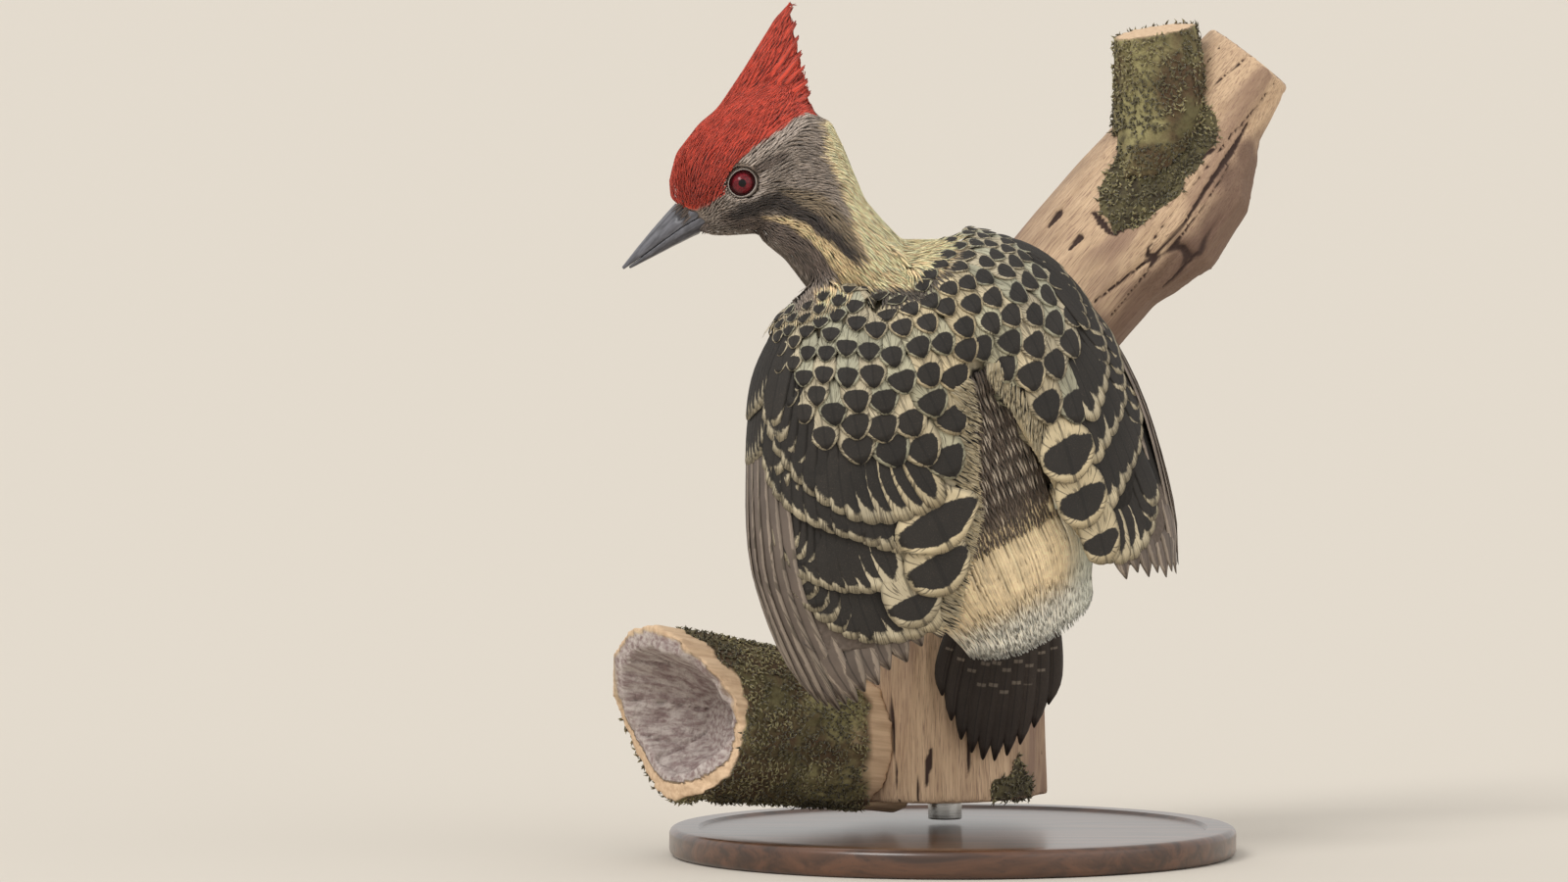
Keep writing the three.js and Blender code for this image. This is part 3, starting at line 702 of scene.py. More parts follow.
def vane_faces(across, along):
    """The faces of one closed vane: a top grid, and a bottom that shares its rim."""
    top = np.arange((across + 1) * (along + 1)).reshape(along + 1, across + 1)
    bottom = top.copy()
    bottom[1:-1, 1:-1] = top.size + np.arange((across - 1) * (along - 1)).reshape(along - 1, across - 1)

    def quads(grid, order):
        corners = (grid[:-1, :-1], grid[:-1, 1:], grid[1:, 1:], grid[1:, :-1])
        return np.stack([corners[k].ravel() for k in order], 1)

    return np.concatenate((quads(top, (0, 1, 2, 3)), quads(bottom, (3, 2, 1, 0))))


def body_outline(v):
    """A contour feather: narrow root, full middle, broad rounded end."""
    return lerp(0.45, 1, smooth(0, 0.5, v)) * lerp(1, 0.84, smooth(0.75, 1, v))


def lock_outline(v):
    """A hair-like lock that thins to a point."""
    return lerp(0.6, 1, smooth(0, 0.3, v)) * lerp(1, 0.12, v ** 2.2)


def quill_outline(v):
    """A flight feather: even sides, then a pointed end."""
    return lerp(0.55, 1, smooth(0, 0.35, v)) * (1 - 0.8 * np.clip((v - 0.72) / 0.28, 0, 1) ** 2.2)


def grow(coat, line, up, width, *, across=2, thick=0.1, sink=0.4, rise=0.1, droop=0.0, tilt=0.0,
         round_tip=0.6, outline=lock_outline, on=None, patch=0.003, tone, tip=None, mark=(2, 2, 0)):
    """Adds closed vanes along lines of points. Widths are halves; v runs from the root to the tip."""
    many, stations = line.shape[:2]
    u, v = np.linspace(-1, 1, across + 1), np.linspace(0, 1, stations)
    ahead = unit(np.gradient(line, axis=1))
    side = unit(np.cross(ahead, up))
    up = unit(np.cross(side, ahead))
    half = np.asarray(width, float).reshape(-1, 1) * outline(v)[None]

    def spread(value):
        return np.broadcast_to(np.asarray(value, float), (many,))[:, None, None]

    grid_u, grid_v = u[None, None], v[None, :, None]
    back = spread(round_tip) * half[:, -1:, None] * grid_u ** 2 * grid_v ** 3
    flat = (line[:, :, None] + side[:, :, None] * (half[:, :, None] * grid_u)[..., None]
            - ahead[:, :, None] * back[..., None])
    rise_at = up[:, :, None] + 0 * flat
    if on is not None:
        spots, normals = on.settle(flat)
        near = np.linalg.norm(spots - flat, axis=-1, keepdims=True) < 1.6
        flat = np.where(near, spots, flat)
        rise_at = unit(np.where(near, 0.5 * (normals + rise_at), rise_at))
    height = (-spread(sink) * (1 - grid_v) ** 2 + spread(rise) * grid_v ** 1.3 - spread(droop) * grid_u ** 2
              + spread(tilt) * grid_u * np.sin(np.pi * np.minimum(grid_v + 0.15, 1) / 1.3))
    lens = spread(thick) / 2 * np.sqrt(1 - grid_u ** 2) * np.sin(np.pi * (0.06 + 0.9 * grid_v)) ** 0.5
    lens = lens * (grid_v > 0) * (grid_v < 1)
    top = flat + rise_at * (height + lens)[..., None]
    bottom = (flat + rise_at * (height - lens)[..., None])[:, 1:-1, 1:-1]
    points = np.concatenate((top.reshape(many, -1, 3), bottom.reshape(many, -1, 3)), 1)
    size = points.shape[1]
    faces = vane_faces(across, stations - 1)[None] + (np.arange(many) * size)[:, None, None]

    place = np.stack(np.meshgrid(u * 0.5 + 0.5, v), -1)
    place = np.concatenate((place.reshape(-1, 2), place[1:-1, 1:-1].reshape(-1, 2)))
    bake = coat.unwrap.spot(line[:, 0])[:, None] + (place - 0.5)[None] * spread(patch)

    def each(value, wide):
        return np.repeat(np.broadcast_to(np.asarray(value, float), (many, wide)), size, axis=0)

    seed = np.random.default_rng(many + size).random((many, 1))
    coat.add(points.reshape(-1, 3), faces.reshape(-1, 4), vane=np.tile(place, (many, 1)),
             bake=bake.reshape(-1, 2), tone=each(tone, 3), tip=each(tone if tip is None else tip, 3),
             mark=each(mark, 3), seed=each(seed, 1))


# ---- the bird's forms, made once and shared by the operators ----
shared = {}


def bird():
    if "bird" not in shared:
        shared["bird"] = Bird()
    return shared["bird"]


class Bird:
    """The outer form, the lie of the feathers and the places for baking."""

    def __init__(self):
        form = copy_of("outer_form", *FLESH, *EYES)
        remesh(form, 0.5, swell=0.3)
        set_points(form, self.fill_shoulders(points_of(form)))
        remesh(form, 0.5, 8)
        self.form = form
        self.surface = Surface(form)
        self.lie = Lie()
        self.unfold(form)
        self.owner = nearest_node(self.surface.centres)
        self.head = HEAD.within(self.surface.centres)
        self.body = BODY.within(self.surface.centres)

    def fill_shoulders(self, points):
        """Fills the hollows round the upper edges of the wings, out to the sheet that joins both wings."""
        body = BODY.within(points)
        x, y, z = body.T
        for wing in WINGS:
            part = np.hypot(x / wing.reach(z), y / wing_rise(z))
            fill = smooth(5, 13, z) * wing.mine(body) * (y < -3) * (part < 1) * smooth(0.5, 0.7, part)
            if wing.side > 0:
                fill = fill * (z < 35)
            else:
                fill = fill * smooth(31, 26, z) * smooth(50, 35, wing.degrees(body))
            body[:, :2] *= lerp(1, 1 / np.maximum(part, 0.3), fill)[:, None]
        return BODY.out(body)

    def unfold(self, form):
        """Unwraps a coarse copy of the form; a root's place for baking is read from it."""
        coarse = new_piece("unfolded_form", form.data.copy())
        remesh(coarse, 1.6)
        in_edit(lambda: bpy.ops.uv.smart_project(angle_limit=math.radians(66), island_margin=0.004))
        mesh = coarse.data
        uv = read(mesh.uv_layers.active.data, "uv", 2).astype(float)
        corners = [tuple(face.vertices) for face in mesh.polygons]
        points = points_of(coarse)
        self.unfolded = BVHTree.FromPolygons(points.tolist(), corners)
        self.face_points = [points[list(face)] for face in corners]
        self.face_uv = [uv[list(face.loop_indices)] for face in mesh.polygons]
        bpy.data.objects.remove(coarse)

    def spot(self, roots):
        """Each root's place on the unwrap."""
        places = np.empty((len(roots), 2))
        for i, root in enumerate(roots.tolist()):
            _, _, face, _ = self.unfolded.find_nearest(root)
            weight = 1 / (far_from(self.face_points[face], np.array(root)) + 0.05)
            places[i] = weight @ self.face_uv[face] / weight.sum()
        return places

    def is_part(self, *names):
        return is_one_of(self.owner, *names)

    def roots(self, wanted, spacing, seed):
        return self.surface.scatter(wanted, spacing, seed)[0]

    def march(self, roots, length, steps, stiff=0.35, sense=1):
        """Lines that follow the lie over the form and run straight on past its edges."""
        on, lie = self.surface, self.lie
        spot, normal = on.settle(roots)
        way = sense * lie.at(spot, normal)
        stride = (np.broadcast_to(length, len(roots)) / steps)[:, None]
        spots, normals = [spot], [normal]
        for _ in range(steps):
            ahead = spot + way * stride
            found, new = on.settle(ahead)
            away = np.linalg.norm(found - ahead, axis=1, keepdims=True)
            stray = (away > 0.6 * stride) | (dot(new, normal) < 0.2)
            spot = np.where(stray, ahead, found)
            normal = np.where(stray, normal, unit(0.6 * new + 0.4 * normal))
            way = unit(stiff * way + (1 - stiff) * sense * lie.at(spot, normal))
            way = unit(way - normal * dot(way, normal))
            spots.append(spot)
            normals.append(normal)
        return np.stack(spots, 1), np.stack(normals, 1)


# ---- materials ----
class Value:
    """A number, vector or colour that comes out of a material's node; arithmetic on it adds nodes."""

    def __init__(self, finish, socket):
        self.finish, self.socket = finish, socket

    def __add__(self, other):
        return self.finish.math("ADD", self, other)

    def __sub__(self, other):
        return self.finish.math("SUBTRACT", self, other)

    def __mul__(self, other):
        return self.finish.math("MULTIPLY", self, other)

    def __truediv__(self, other):
        return self.finish.math("DIVIDE", self, other)

    def __pow__(self, other):
        return self.finish.math("POWER", self, other)


class Finish:
    """A material and a short hand for wiring its nodes."""

    def __init__(self, name, roughness=0.8, **settings):
        self.material = bpy.data.materials.new(name)
        self.material.use_nodes = True
        self.tree = self.material.node_tree
        self.shader = self.tree.nodes["Principled BSDF"]
        self.set(Roughness=roughness, **settings)

    def set(self, **settings):
        """Feeds the shader's own sockets."""
        for key, value in settings.items():
            self.feed(self.shader.inputs[key.replace("_", " ")], value)

    def node(self, kind, output=0, inputs=(), **settings):
        made = self.tree.nodes.new("ShaderNode" + kind)
        for key, value in settings.items():
            setattr(made, key, value)
        for key, value in dict(inputs).items():
            self.feed(made.inputs[key], value)
        return Value(self, made.outputs[output])

    def feed(self, socket, value):
        if isinstance(value, Value):
            self.tree.links.new(value.socket, socket)
        elif value is not None:
            if hasattr(value, "__len__") and len(value) == 3 and socket.type == "RGBA":
                value = (*value, 1)
            socket.default_value = value

    def math(self, operation, a, b=None):
        return self.node("Math", 0, {0: a, 1: b}, operation=operation)

    def wave(self, value):
        """A sine that runs from 0 to 1."""
        return self.math("SINE", value) * 0.5 + 0.5

    def mix(self, share, a, b, blend="MIX"):
        return self.node("Mix", 2, {0: share, 6: a, 7: b}, data_type="RGBA", blend_type=blend)

    def steps(self, value, low, high, out_low=0.0, out_high=1.0):
        return self.node("MapRange", 0, {0: value, 1: low, 2: high, 3: out_low, 4: out_high},
                         interpolation_type="SMOOTHSTEP")

    def over(self, base, colour, value, low, high, most=1.0):
        """Lays a colour over the base where a value passes from low to high."""
        return self.mix(self.steps(value, low, high, 0, most), base, colour)

    def shaded(self, colour, shade):
        """A colour times a number."""
        grey = self.node("CombineColor", 0, {0: shade, 1: shade, 2: shade})
        return self.mix(1.0, colour, grey, "MULTIPLY")

    def attribute(self, name, output=0):
        return self.node("Attribute", output, attribute_name=name)

    def colour_of(self, name):
        return self.attribute(name)

    def vector_of(self, name):
        return self.attribute(name, 1)

    def number_of(self, name):
        return self.attribute(name, 2)

    def split(self, vector):
        made = self.tree.nodes.new("ShaderNodeSeparateXYZ")
        self.feed(made.inputs[0], vector)
        return [Value(self, socket) for socket in made.outputs]

    def vane(self):
        """How far across and how far along its vane a spot lies."""
        across, along, _ = self.split(self.node("UVMap", 0, uv_map="Vane"))
        return self.math("ABSOLUTE", across * 2 - 1), along

    def cloud(self, scale, detail=2.0, roughness=0.5, distortion=0.0, stretch=(1, 1, 1), along=None, at=None):
        """Noise on Object coordinates, on a vector attribute or at a given vector."""
        if at is None:
            start = self.vector_of(along) if along else self.node("TexCoord", 3)
            at = self.node("Mapping", 0, {0: start, 3: stretch})
        return self.node("TexNoise", 0, {"Vector": at, "Scale": scale, "Detail": detail,
                                         "Roughness": roughness, "Distortion": distortion})

    def cells(self, scale, feature="F1", stretch=(1, 1, 1)):
        at = self.node("Mapping", 0, {0: self.node("TexCoord", 3), 3: stretch})
        return self.node("TexVoronoi", 0, {"Vector": at, "Scale": scale}, feature=feature)

    def done(self, colour, height=None, distance=0.0, strength=1.0):
        """Gives the shader its colour and bump, and returns the finished material."""
        self.set(Base_Color=colour)
        if height is not None:
            bump = {"Strength": strength, "Distance": distance, "Height": height}
            self.set(Normal=self.node("Bump", 0, bump))
        return self.material


def tint(colour, amount):
    return tuple(min(1, amount * c) for c in colour)


def soft_plumage(name, streak=0.25, dark_root=0.35):
    """Short loose feathers: darker at the root, paler at the tip, with fine hair-like streaks."""
    finish = Finish(name, 0.85)
    across, along = finish.vane()
    tone = finish.over(finish.colour_of("tone"), finish.colour_of("tip"), along, 0.45, 0.95)
    hair = finish.wave(across * 16 + along * 3)
    shade = hair * -streak + (1 + streak * 0.35)
    shade = shade * finish.steps(along, 0, 0.55, 1 - dark_root, 1.0)
    shade = shade * finish.steps(finish.cloud(700, 2), 0.25, 0.75, 0.85, 1.12)
    shade = shade * finish.steps(finish.number_of("seed"), 0, 1, 0.88, 1.1)
    finish.set(Sheen_Weight=0.15, Sheen_Roughness=0.4)
    return finish.done(finish.shaded(tone, shade), hair, 0.00006, 0.6)


def marked_plumage(name, bars=0.0, gloss=0.72, ragged=0.12):
    """Broad vanes: a dark middle inside a pale edge that is crossed by fine dark barbs, and a shaft.

    The mark attribute holds the dark middle's half width, half length and centre along the vane.
    """
    finish = Finish(name, gloss)
    across, along = finish.vane()
    wide, tall, centre = finish.split(finish.vector_of("mark"))
    seed = finish.number_of("seed")
    slant = across * -0.35 + along
    barbs = finish.wave((slant + finish.cloud(900, 1) * 0.12) * (34 * 6.283))

    a = across / wide
    b = finish.math("ABSOLUTE", (across * across * 0.04 + along - centre) / tall)
    reach = (a ** 2.2 + b ** 2.2) ** 0.4545
    waver = finish.cloud(1500, 3, 0.7) * (2 * ragged) - ragged
    lumps = finish.cloud(420, 1) * 0.3 - 0.15
    edge = finish.steps(reach + waver + lumps, 0.94, 1.04)

    core = finish.colour_of("tone")
    if bars:
        window = finish.steps(along, 0.26, 0.28) * finish.steps(along, 0.6, 0.58)
        comb = finish.steps(across, 0.5, 0.4) * finish.steps(barbs, 0.2, 0.5)
        bar = finish.steps(finish.math("SINE", along * 46 + seed * 9), 0.8, 0.95) * window * comb
        core = finish.mix(bar * bars, core, finish.colour_of("tip"))
    core = finish.over(core, paint(112, 98, 84), finish.cloud(5200, 1), 0.58, 0.75, 0.2)

    ray = finish.math("ARCTANGENT", (along - centre) / (across + 0.05))
    rays = finish.node("CombineXYZ", 0, {0: ray * 10, 1: seed * 90, 2: reach * 0.5})
    flecks = finish.cloud(1.6, 1, at=rays)
    rim = finish.over(finish.colour_of("tip"), paint(66, 56, 46), flecks, 0.56, 0.62, 0.72)
    rim = finish.mix(barbs * 0.11 + 0.11, rim, paint(120, 112, 92))
    shaft = finish.steps(across, 0.09, 0.04)
    colour = finish.mix(shaft * 0.5, finish.mix(edge, core, rim), paint(18, 15, 13))
    mottle = finish.steps(finish.cloud(240, 2), 0.3, 0.7, 0.9, 1.08)
    shade = finish.steps(seed, 0, 1, 0.88, 1.1) * mottle
    return finish.done(finish.shaded(colour, shade), shaft * 1.5 + barbs, 0.00005, 0.6)


def skin_finish():
    """The skin under the coat, in the coat's own colours, with the pits of the feather roots."""
    finish = Finish("feathered_skin", 0.9)
    mottle, pits = finish.cloud(1400, 3), finish.cells(1100)
    shade = finish.steps(mottle, 0.3, 0.7, 0.75, 1.0) * finish.steps(pits, 0, 0.5, 0.8, 1.0)
    return finish.done(finish.shaded(finish.colour_of("tone"), shade), pits + mottle, 0.0001)


def scaly_finish(colour):
    """Bare scaled skin of the shank and toes."""
    finish = Finish("scaly_foot", 0.55)
    seam = finish.steps(finish.cells(1000, "DISTANCE_TO_EDGE", (1, 1, 1.5)), 0.02, 0.12)
    base = finish.over(tint(colour, 0.7), colour, finish.cloud(500, 3), 0.3, 0.7)
    return finish.done(finish.mix(seam, tint(colour, 0.35), base), seam, 0.00012)


def horn_finish(name, colour, gloss, scale, **place):
    """Smooth horn with faint lengthwise growth lines and worn paler spots."""
    finish = Finish(name, gloss)
    streaks = finish.cloud(scale, 4, 0.6, **place)
    base = finish.over(tint(colour, 0.62), tint(colour, 1.25), streaks, 0.32, 0.7)
    base = finish.over(base, tint(colour, 1.7), finish.cloud(350, 3), 0.55, 0.8, 0.4)
    finish.set(Roughness=finish.steps(streaks, 0.3, 0.7, gloss - 0.08, gloss + 0.12))
    return finish.done(base, streaks, 0.00004)


def eye_finish(look):
    """A wet eye: black pupil, dark red iris with fine spokes, darker rim."""
    finish = Finish("wet_eye", 0.25, Coat_Weight=0.35, Coat_Roughness=0.03, Specular_IOR_Level=0.1)
    gaze = finish.number_of("gaze")
    spokes = finish.cloud(2600, 3, stretch=(1, 0.2, 1))
    iris = finish.over(tint(look.iris, 0.6), tint(look.iris, 1.3), spokes, 0.35, 0.65)
    iris = finish.over(iris, tint(look.iris, 0.2), gaze, 0.62, 0.8)
    return finish.done(finish.over((0.004, 0.003, 0.003), iris, gaze, 0.27, 0.32))


def lid_finish(colour):
    """Bare wrinkled skin round the eye."""
    finish = Finish("eye_ring", 0.6)
    folds = finish.cells(2600)
    return finish.done(finish.over(tint(colour, 0.6), colour, folds, 0.1, 0.5), folds, 0.00006)


def wood_finish(look):
    """Bare weathered wood: long fibres, dark checks, a greyer side in painted shade and ringed sawn ends."""
    finish = Finish("weathered_wood", 0.85)
    fibre = finish.cloud(1.3, 5, 0.6, 0.3, (1.1, 1.1, 0.05), "grain")
    hair = finish.cloud(1.5, 3, 0.55, 0, (4, 4, 0.16), "grain")
    patch = finish.cloud(1.4, 3, 0.5, 0.6, (0.09, 0.09, 0.02), "grain")
    base = finish.over(look.wood_mid, look.wood_light, fibre, 0.3, 0.7)
    base = finish.over(base, look.wood_shade, hair, 0.48, 0.68, 0.8)
    base = finish.over(base, look.wood_shade, patch, 0.48, 0.68, 0.75)
    # The shade attribute is painted shade, laid over the wood in its dark colour.
    base = finish.mix(finish.number_of("shade") * 0.9, base, look.wood_dark)
    base = finish.over(base, tint(look.wood_dark, 0.45), finish.number_of("check"), 0.15, 0.8)
    mossy = finish.over(look.moss_dark, look.moss, finish.cloud(420, 4, 0.6), 0.35, 0.65)
    base = finish.over(base, mossy, finish.number_of("moss"), 0.35, 0.6)
    ring, _, end = finish.split(finish.vector_of("saw"))
    rings = finish.math("SINE", ring * 5.5 + patch * 4)
    sawn = finish.over(look.wood_light, look.wood_shade, rings, -0.4, 0.9)
    return finish.done(finish.mix(end, base, sawn), fibre * 0.7 + hair * 0.3, 0.0005, 0.8)


def bark_finish(look):
    """Mossy bark with a pale torn edge and a brown hollow."""
    finish = Finish("mossy_bark", 0.95)
    lumps, fine = finish.cloud(160, 5, 0.65, 0.4), finish.cloud(900, 3)
    base = finish.over(look.bark, look.moss, lumps, 0.38, 0.62)
    base = finish.over(base, look.moss_light, finish.cloud(90, 3), 0.45, 0.68)
    base = finish.over(base, look.moss_dark, fine, 0.5, 0.75, 0.7)
    streak = finish.cloud(1.2, 4, 0.6, 0, (1, 1, 0.07), "grain")
    inside = finish.over(look.hollow_dark, look.hollow, streak, 0.3, 0.7)
    base = finish.mix(finish.number_of("hollow"), base, inside)
    torn = finish.over(look.wood_mid, look.wood_light, streak, 0.35, 0.65)
    base = finish.mix(finish.number_of("torn"), base, torn)
    rough = finish.number_of("torn") * -0.8 + 1.0
    return finish.done(base, (lumps + fine * 0.4) * rough, 0.0009)


def moss_finish():
    """Soft moss, greener at the tips."""
    finish = Finish("moss_tufts", 1.0)
    _, along = finish.vane()
    finish.set(Sheen_Weight=0.3, Sheen_Roughness=0.4)
    colour = finish.over(finish.colour_of("tone"), finish.colour_of("tip"), along, 0.2, 0.9)
    return finish.done(colour, finish.cloud(1500, 2), 0.0001)


def varnished_finish(colour):
    """Dark stained wood under satin varnish, with fine straight grain."""
    finish = Finish("varnished_base", 0.35, Coat_Weight=0.5, Coat_Roughness=0.2)
    grain = finish.cloud(26, 6, 0.6, 0.8, (1, 9, 9))
    pores = finish.cloud(160, 2, stretch=(1, 14, 14))
    base = finish.over(tint(colour, 0.5), tint(colour, 1.5), grain, 0.35, 0.65)
    return finish.done(finish.over(base, tint(colour, 0.3), pores, 0.6, 0.8, 0.6), grain, 0.00008)


def steel_finish():
    """Brushed steel with fine scratches round the rod."""
    finish = Finish("brushed_rod", 0.3, Metallic=1.0)
    brush = finish.cloud(90, 3, stretch=(1, 1, 40))
    finish.set(Roughness=finish.steps(brush, 0.3, 0.7, 0.22, 0.4))
    return finish.done(finish.over((0.42, 0.41, 0.39), (0.6, 0.59, 0.56), brush, 0.3, 0.7), brush, 0.00002)


# ---- sizes and colours that a user may change ----
def shade(name, description, red, green, blue):
    return FloatVectorProperty(name=name, description=description, default=paint(red, green, blue),
                               subtype="COLOR", size=3, min=0, max=1)


def span(name, description, millimetres):
    return FloatProperty(name=name, description=description, default=millimetres * MM,
                         unit="LENGTH", min=0.1 * MM, max=50 * MM)


class WOODPECKER_PG_plumage(PropertyGroup):
    """Depth, spacing and colours of the feathers."""

    coat_depth: span("Coat depth", "How far the skin lies inside the coat on the body", 1.3)
    face_depth: span("Face coat depth", "How far the skin lies inside the coat on the face", 0.55)
    face_spacing: span("Face spacing", "Distance between tufts on the face", 0.38)
    body_spacing: span("Body spacing", "Distance between tufts on the underparts", 1.3)
    crest: shade("Cap and crest", "Red of the cap and crest", 218, 80, 58)
    crest_dark: shade("Crest shade", "Dark streaks of the crest", 154, 32, 27)
    face: shade("Face", "Grey-brown of the face and neck", 158, 144, 132)
    face_pale: shade("Brow", "Paler band under the cap", 199, 184, 172)
    malar: shade("Throat side", "Dark band from bill to throat", 115, 100, 90)
    cheek: shade("Cheek band", "Darkest band, over the throat stripe", 62, 52, 46)
    ear: shade("Ear patch", "Brown band between the neck stripes", 139, 122, 99)
    collar: shade("Collar", "Buff above the mantle", 255, 224, 174)
    throat_stripe: shade("Throat stripe", "Narrow buff stripe", 232, 204, 156)
    nape_stripe: shade("Nape stripe", "Broad buff stripe down the hind neck", 255, 228, 180)
    underparts: shade("Underparts", "Sooty olive of breast and belly", 99, 90, 80)
    lower_back: shade("Lower back", "Dark brown between the wings", 118, 103, 91)
    lower_back_bar: shade("Lower back bars", "Faint bars of the lower back", 232, 216, 196)
    rump: shade("Rump", "Buff of the rump", 248, 224, 182)
    rump_side: shade("Rump side", "Greenish grey of the rump's side", 244, 250, 234)
    rump_tip: shade("Rump tips", "White tips of the rump feathers", 255, 252, 238)
    spot: shade("Spots", "Black middle of mantle and wing feathers", 36, 32, 28)
    fringe: shade("Fringes", "Pale edge of the mantle feathers", 202, 190, 162)
    fringe_green: shade("Green fringes", "Fringes with a bluish-green cast", 171, 180, 159)
    fringe_buff: shade("Buff fringes", "Warmer fringes near the spine", 214, 196, 158)
    quill: shade("Flight feathers", "Dark brown of the outer wing", 106, 94, 85)
    quill_edge: shade("Flight feather edges", "Worn paler edges", 158, 143, 130)
    tail: shade("Tail", "Black-brown of the tail", 52, 44, 39)
    tail_mark: shade("Tail marks", "Small pale bars at the tail's root", 160, 148, 134)


class WOODPECKER_PG_head(PropertyGroup):
    """Bare parts of the head and the feet."""

    bill: shade("Bill", "Blue-grey horn", 92, 92, 98)
    iris: shade("Iris", "Dark red of the eye", 107, 27, 35)
    ring: shade("Eye ring", "Bare skin round the eye", 173, 164, 156)
    foot: shade("Foot", "Greenish grey of shank and toes", 96, 100, 89)
    claw: shade("Claw", "Dark horn of the claws", 48, 46, 46)
    cornea: span("Cornea bulge", "How far the clear front of the eye stands out", 0.3)


class WOODPECKER_PG_perch(PropertyGroup):
    """Colours of the trunk and its moss, and the depth of its fibres."""

    fibre_depth: span("Fibre depth", "Height of the ridges along the grain", 0.55)
    wood_light: shade("Pale wood", "Palest fibres", 218, 189, 156)
    wood_mid: shade("Wood", "Middle tone of the bare wood", 198, 168, 137)
    wood_shade: shade("Shaded wood", "Greyer fibres", 147, 118, 101)
    # Also the colour of the painted shade on the trunk and limb.
    wood_dark: shade("Dark wood", "Checks and the shaded side", 93, 68, 59)
    bark: shade("Bark", "Brown bark under the moss", 89, 70, 50)
    moss: shade("Moss", "Green-brown of the moss", 98, 91, 61)
    moss_light: shade("Moss tips", "Brightest moss", 156, 148, 104)
    moss_dark: shade("Moss shade", "Deepest moss", 59, 51, 35)
    hollow: shade("Hollow", "Purple-brown of the hollow", 190, 180, 174)
    hollow_dark: shade("Hollow shade", "Deep in the hollow", 134, 115, 113)


class WOODPECKER_PG_stage(PropertyGroup):
    """The display stand, the floor and the light."""

    base: shade("Base", "Stain of the wooden base", 76, 48, 31)
    bead: span("Base bead", "Rounding of the base's upper edge", 1.2)
    floor: shade("Floor", "Cream of the floor", 208, 201, 190)
    sky: FloatProperty(name="Sky", description="Strength of the even light", default=0.84, min=0, max=5)
    key: FloatProperty(name="Key light", description="Strength of the main lamp", default=1.44, min=0, max=20)


def looks():
    return bpy.context.scene.woodpecker_plumage


# ---- skin ----
class WOODPECKER_OT_skin(Operator):
    """Make one skin under the coat, with a socket for each eye and bare scaled feet"""

    bl_idname = "woodpecker.skin"
    bl_label = "Skin"

    def execute(self, context):
        look, piece, surface = looks(), bird().form, bird().surface
        normals = normals_of(piece)
        inward = zip((surface.points - normals * 0.05).tolist(), (-normals).tolist())
        farthest = 30
        hits = [surface.tree.ray_cast(start, way, farthest) for start, way in inward]
        room = np.array([farthest if hit[3] is None else hit[3] for hit in hits])
        inset = np.minimum(self.coat_depth(surface.points, look) + 0.3, 0.36 * room)
        inset = even_numbers(inset, surface.edges, 6)
        set_points(piece, self.sockets(surface.points - normals * inset[:, None]))
        piece.name = piece.data.name = "skin"
        for foot in [self.foot(name) for name in FEET]:
            modify(piece, "BOOLEAN", operation="UNION", solver="MANIFOLD", object=foot)
            bpy.data.objects.remove(foot)
        triangles = sum(len(face.vertices) - 2 for face in piece.data.polygons)
        modify(piece, "DECIMATE", ratio=min(1.0, MOST_TRIANGLES / triangles))
        at = points_of(piece)
        owner = nearest_node(at)
        set_colour(piece, "tone", plumage_colours(at, look, owner))
        settle_in(piece, "plumage_grey", FLESH + FEET, skin_finish(),
                  scaly_finish(context.scene.woodpecker_head.foot))
        below_ankle = BODY.within(at)[:, 2] < ANKLE
        bare = is_one_of(owner, *FEET) | (is_one_of(owner, "leg_left", "leg_right") & below_ankle)
        for face in piece.data.polygons:
            face.material_index = int(bare[face.vertices[0]])
        piece.data.shade_smooth()
        return {"FINISHED"}

    def coat_depth(self, points, look):
        """How deep the skin lies under the coat's outline at each point."""
        owner = nearest_node(points)
        body_depth = look.coat_depth / MM
        depth = np.full(len(points), body_depth)
        for names, value in ((("neck",), 0.8 * body_depth), (("crest",), 0.9),
                             (("head",), look.face_depth / MM), (("leg_left", "leg_right"), 0.3),
                             (FEET, 0.1)):
            depth = np.where(is_one_of(owner, *names), value, depth)
        return np.where(near_bill(points) < 1.2, 0.05, depth)

    def sockets(self, points):
        """Presses a cup into the skin round each eyeball."""
        head = HEAD.within(points)
        for side in SIDES.values():
            local = head - np.array(EYE_AT) * (1, side, 1)
            across = np.hypot(local[:, 0], local[:, 2])
            out = local[:, 1] * side
            cup = -np.sqrt(np.maximum(SOCKET ** 2 - across ** 2, 0)) * 0.35
            pressed = (across < SOCKET) & (out > cup)
            head[:, 1] = np.where(pressed, head[:, 1] + side * (cup - out), head[:, 1])
        return HEAD.out(head)

    def foot(self, node):
        foot = copy_of(node + "_form", node)
        subdivide(foot, 1)
        remesh(foot, 0.28, 3)
        return foot


# ---- small coats ----
def eye_gap(head):
    """Distance from the nearer eye's axis, seen from the side, in head coordinates."""
    return np.hypot(head[:, 0] - EYE_AT[0], head[:, 2] - EYE_AT[2])


def clear_of_eye(roots, length, steps, gap, stiff=0.35):
    """Lines along the lie, cut short where they would lie over the eye."""
    line, _ = bird().march(roots, length, steps, stiff)
    over = eye_gap(HEAD.within(line.reshape(-1, 3))).reshape(line.shape[:2]).min(1) < gap
    return bird().march(roots, np.where(over, 0.3 * length, length), steps, stiff)


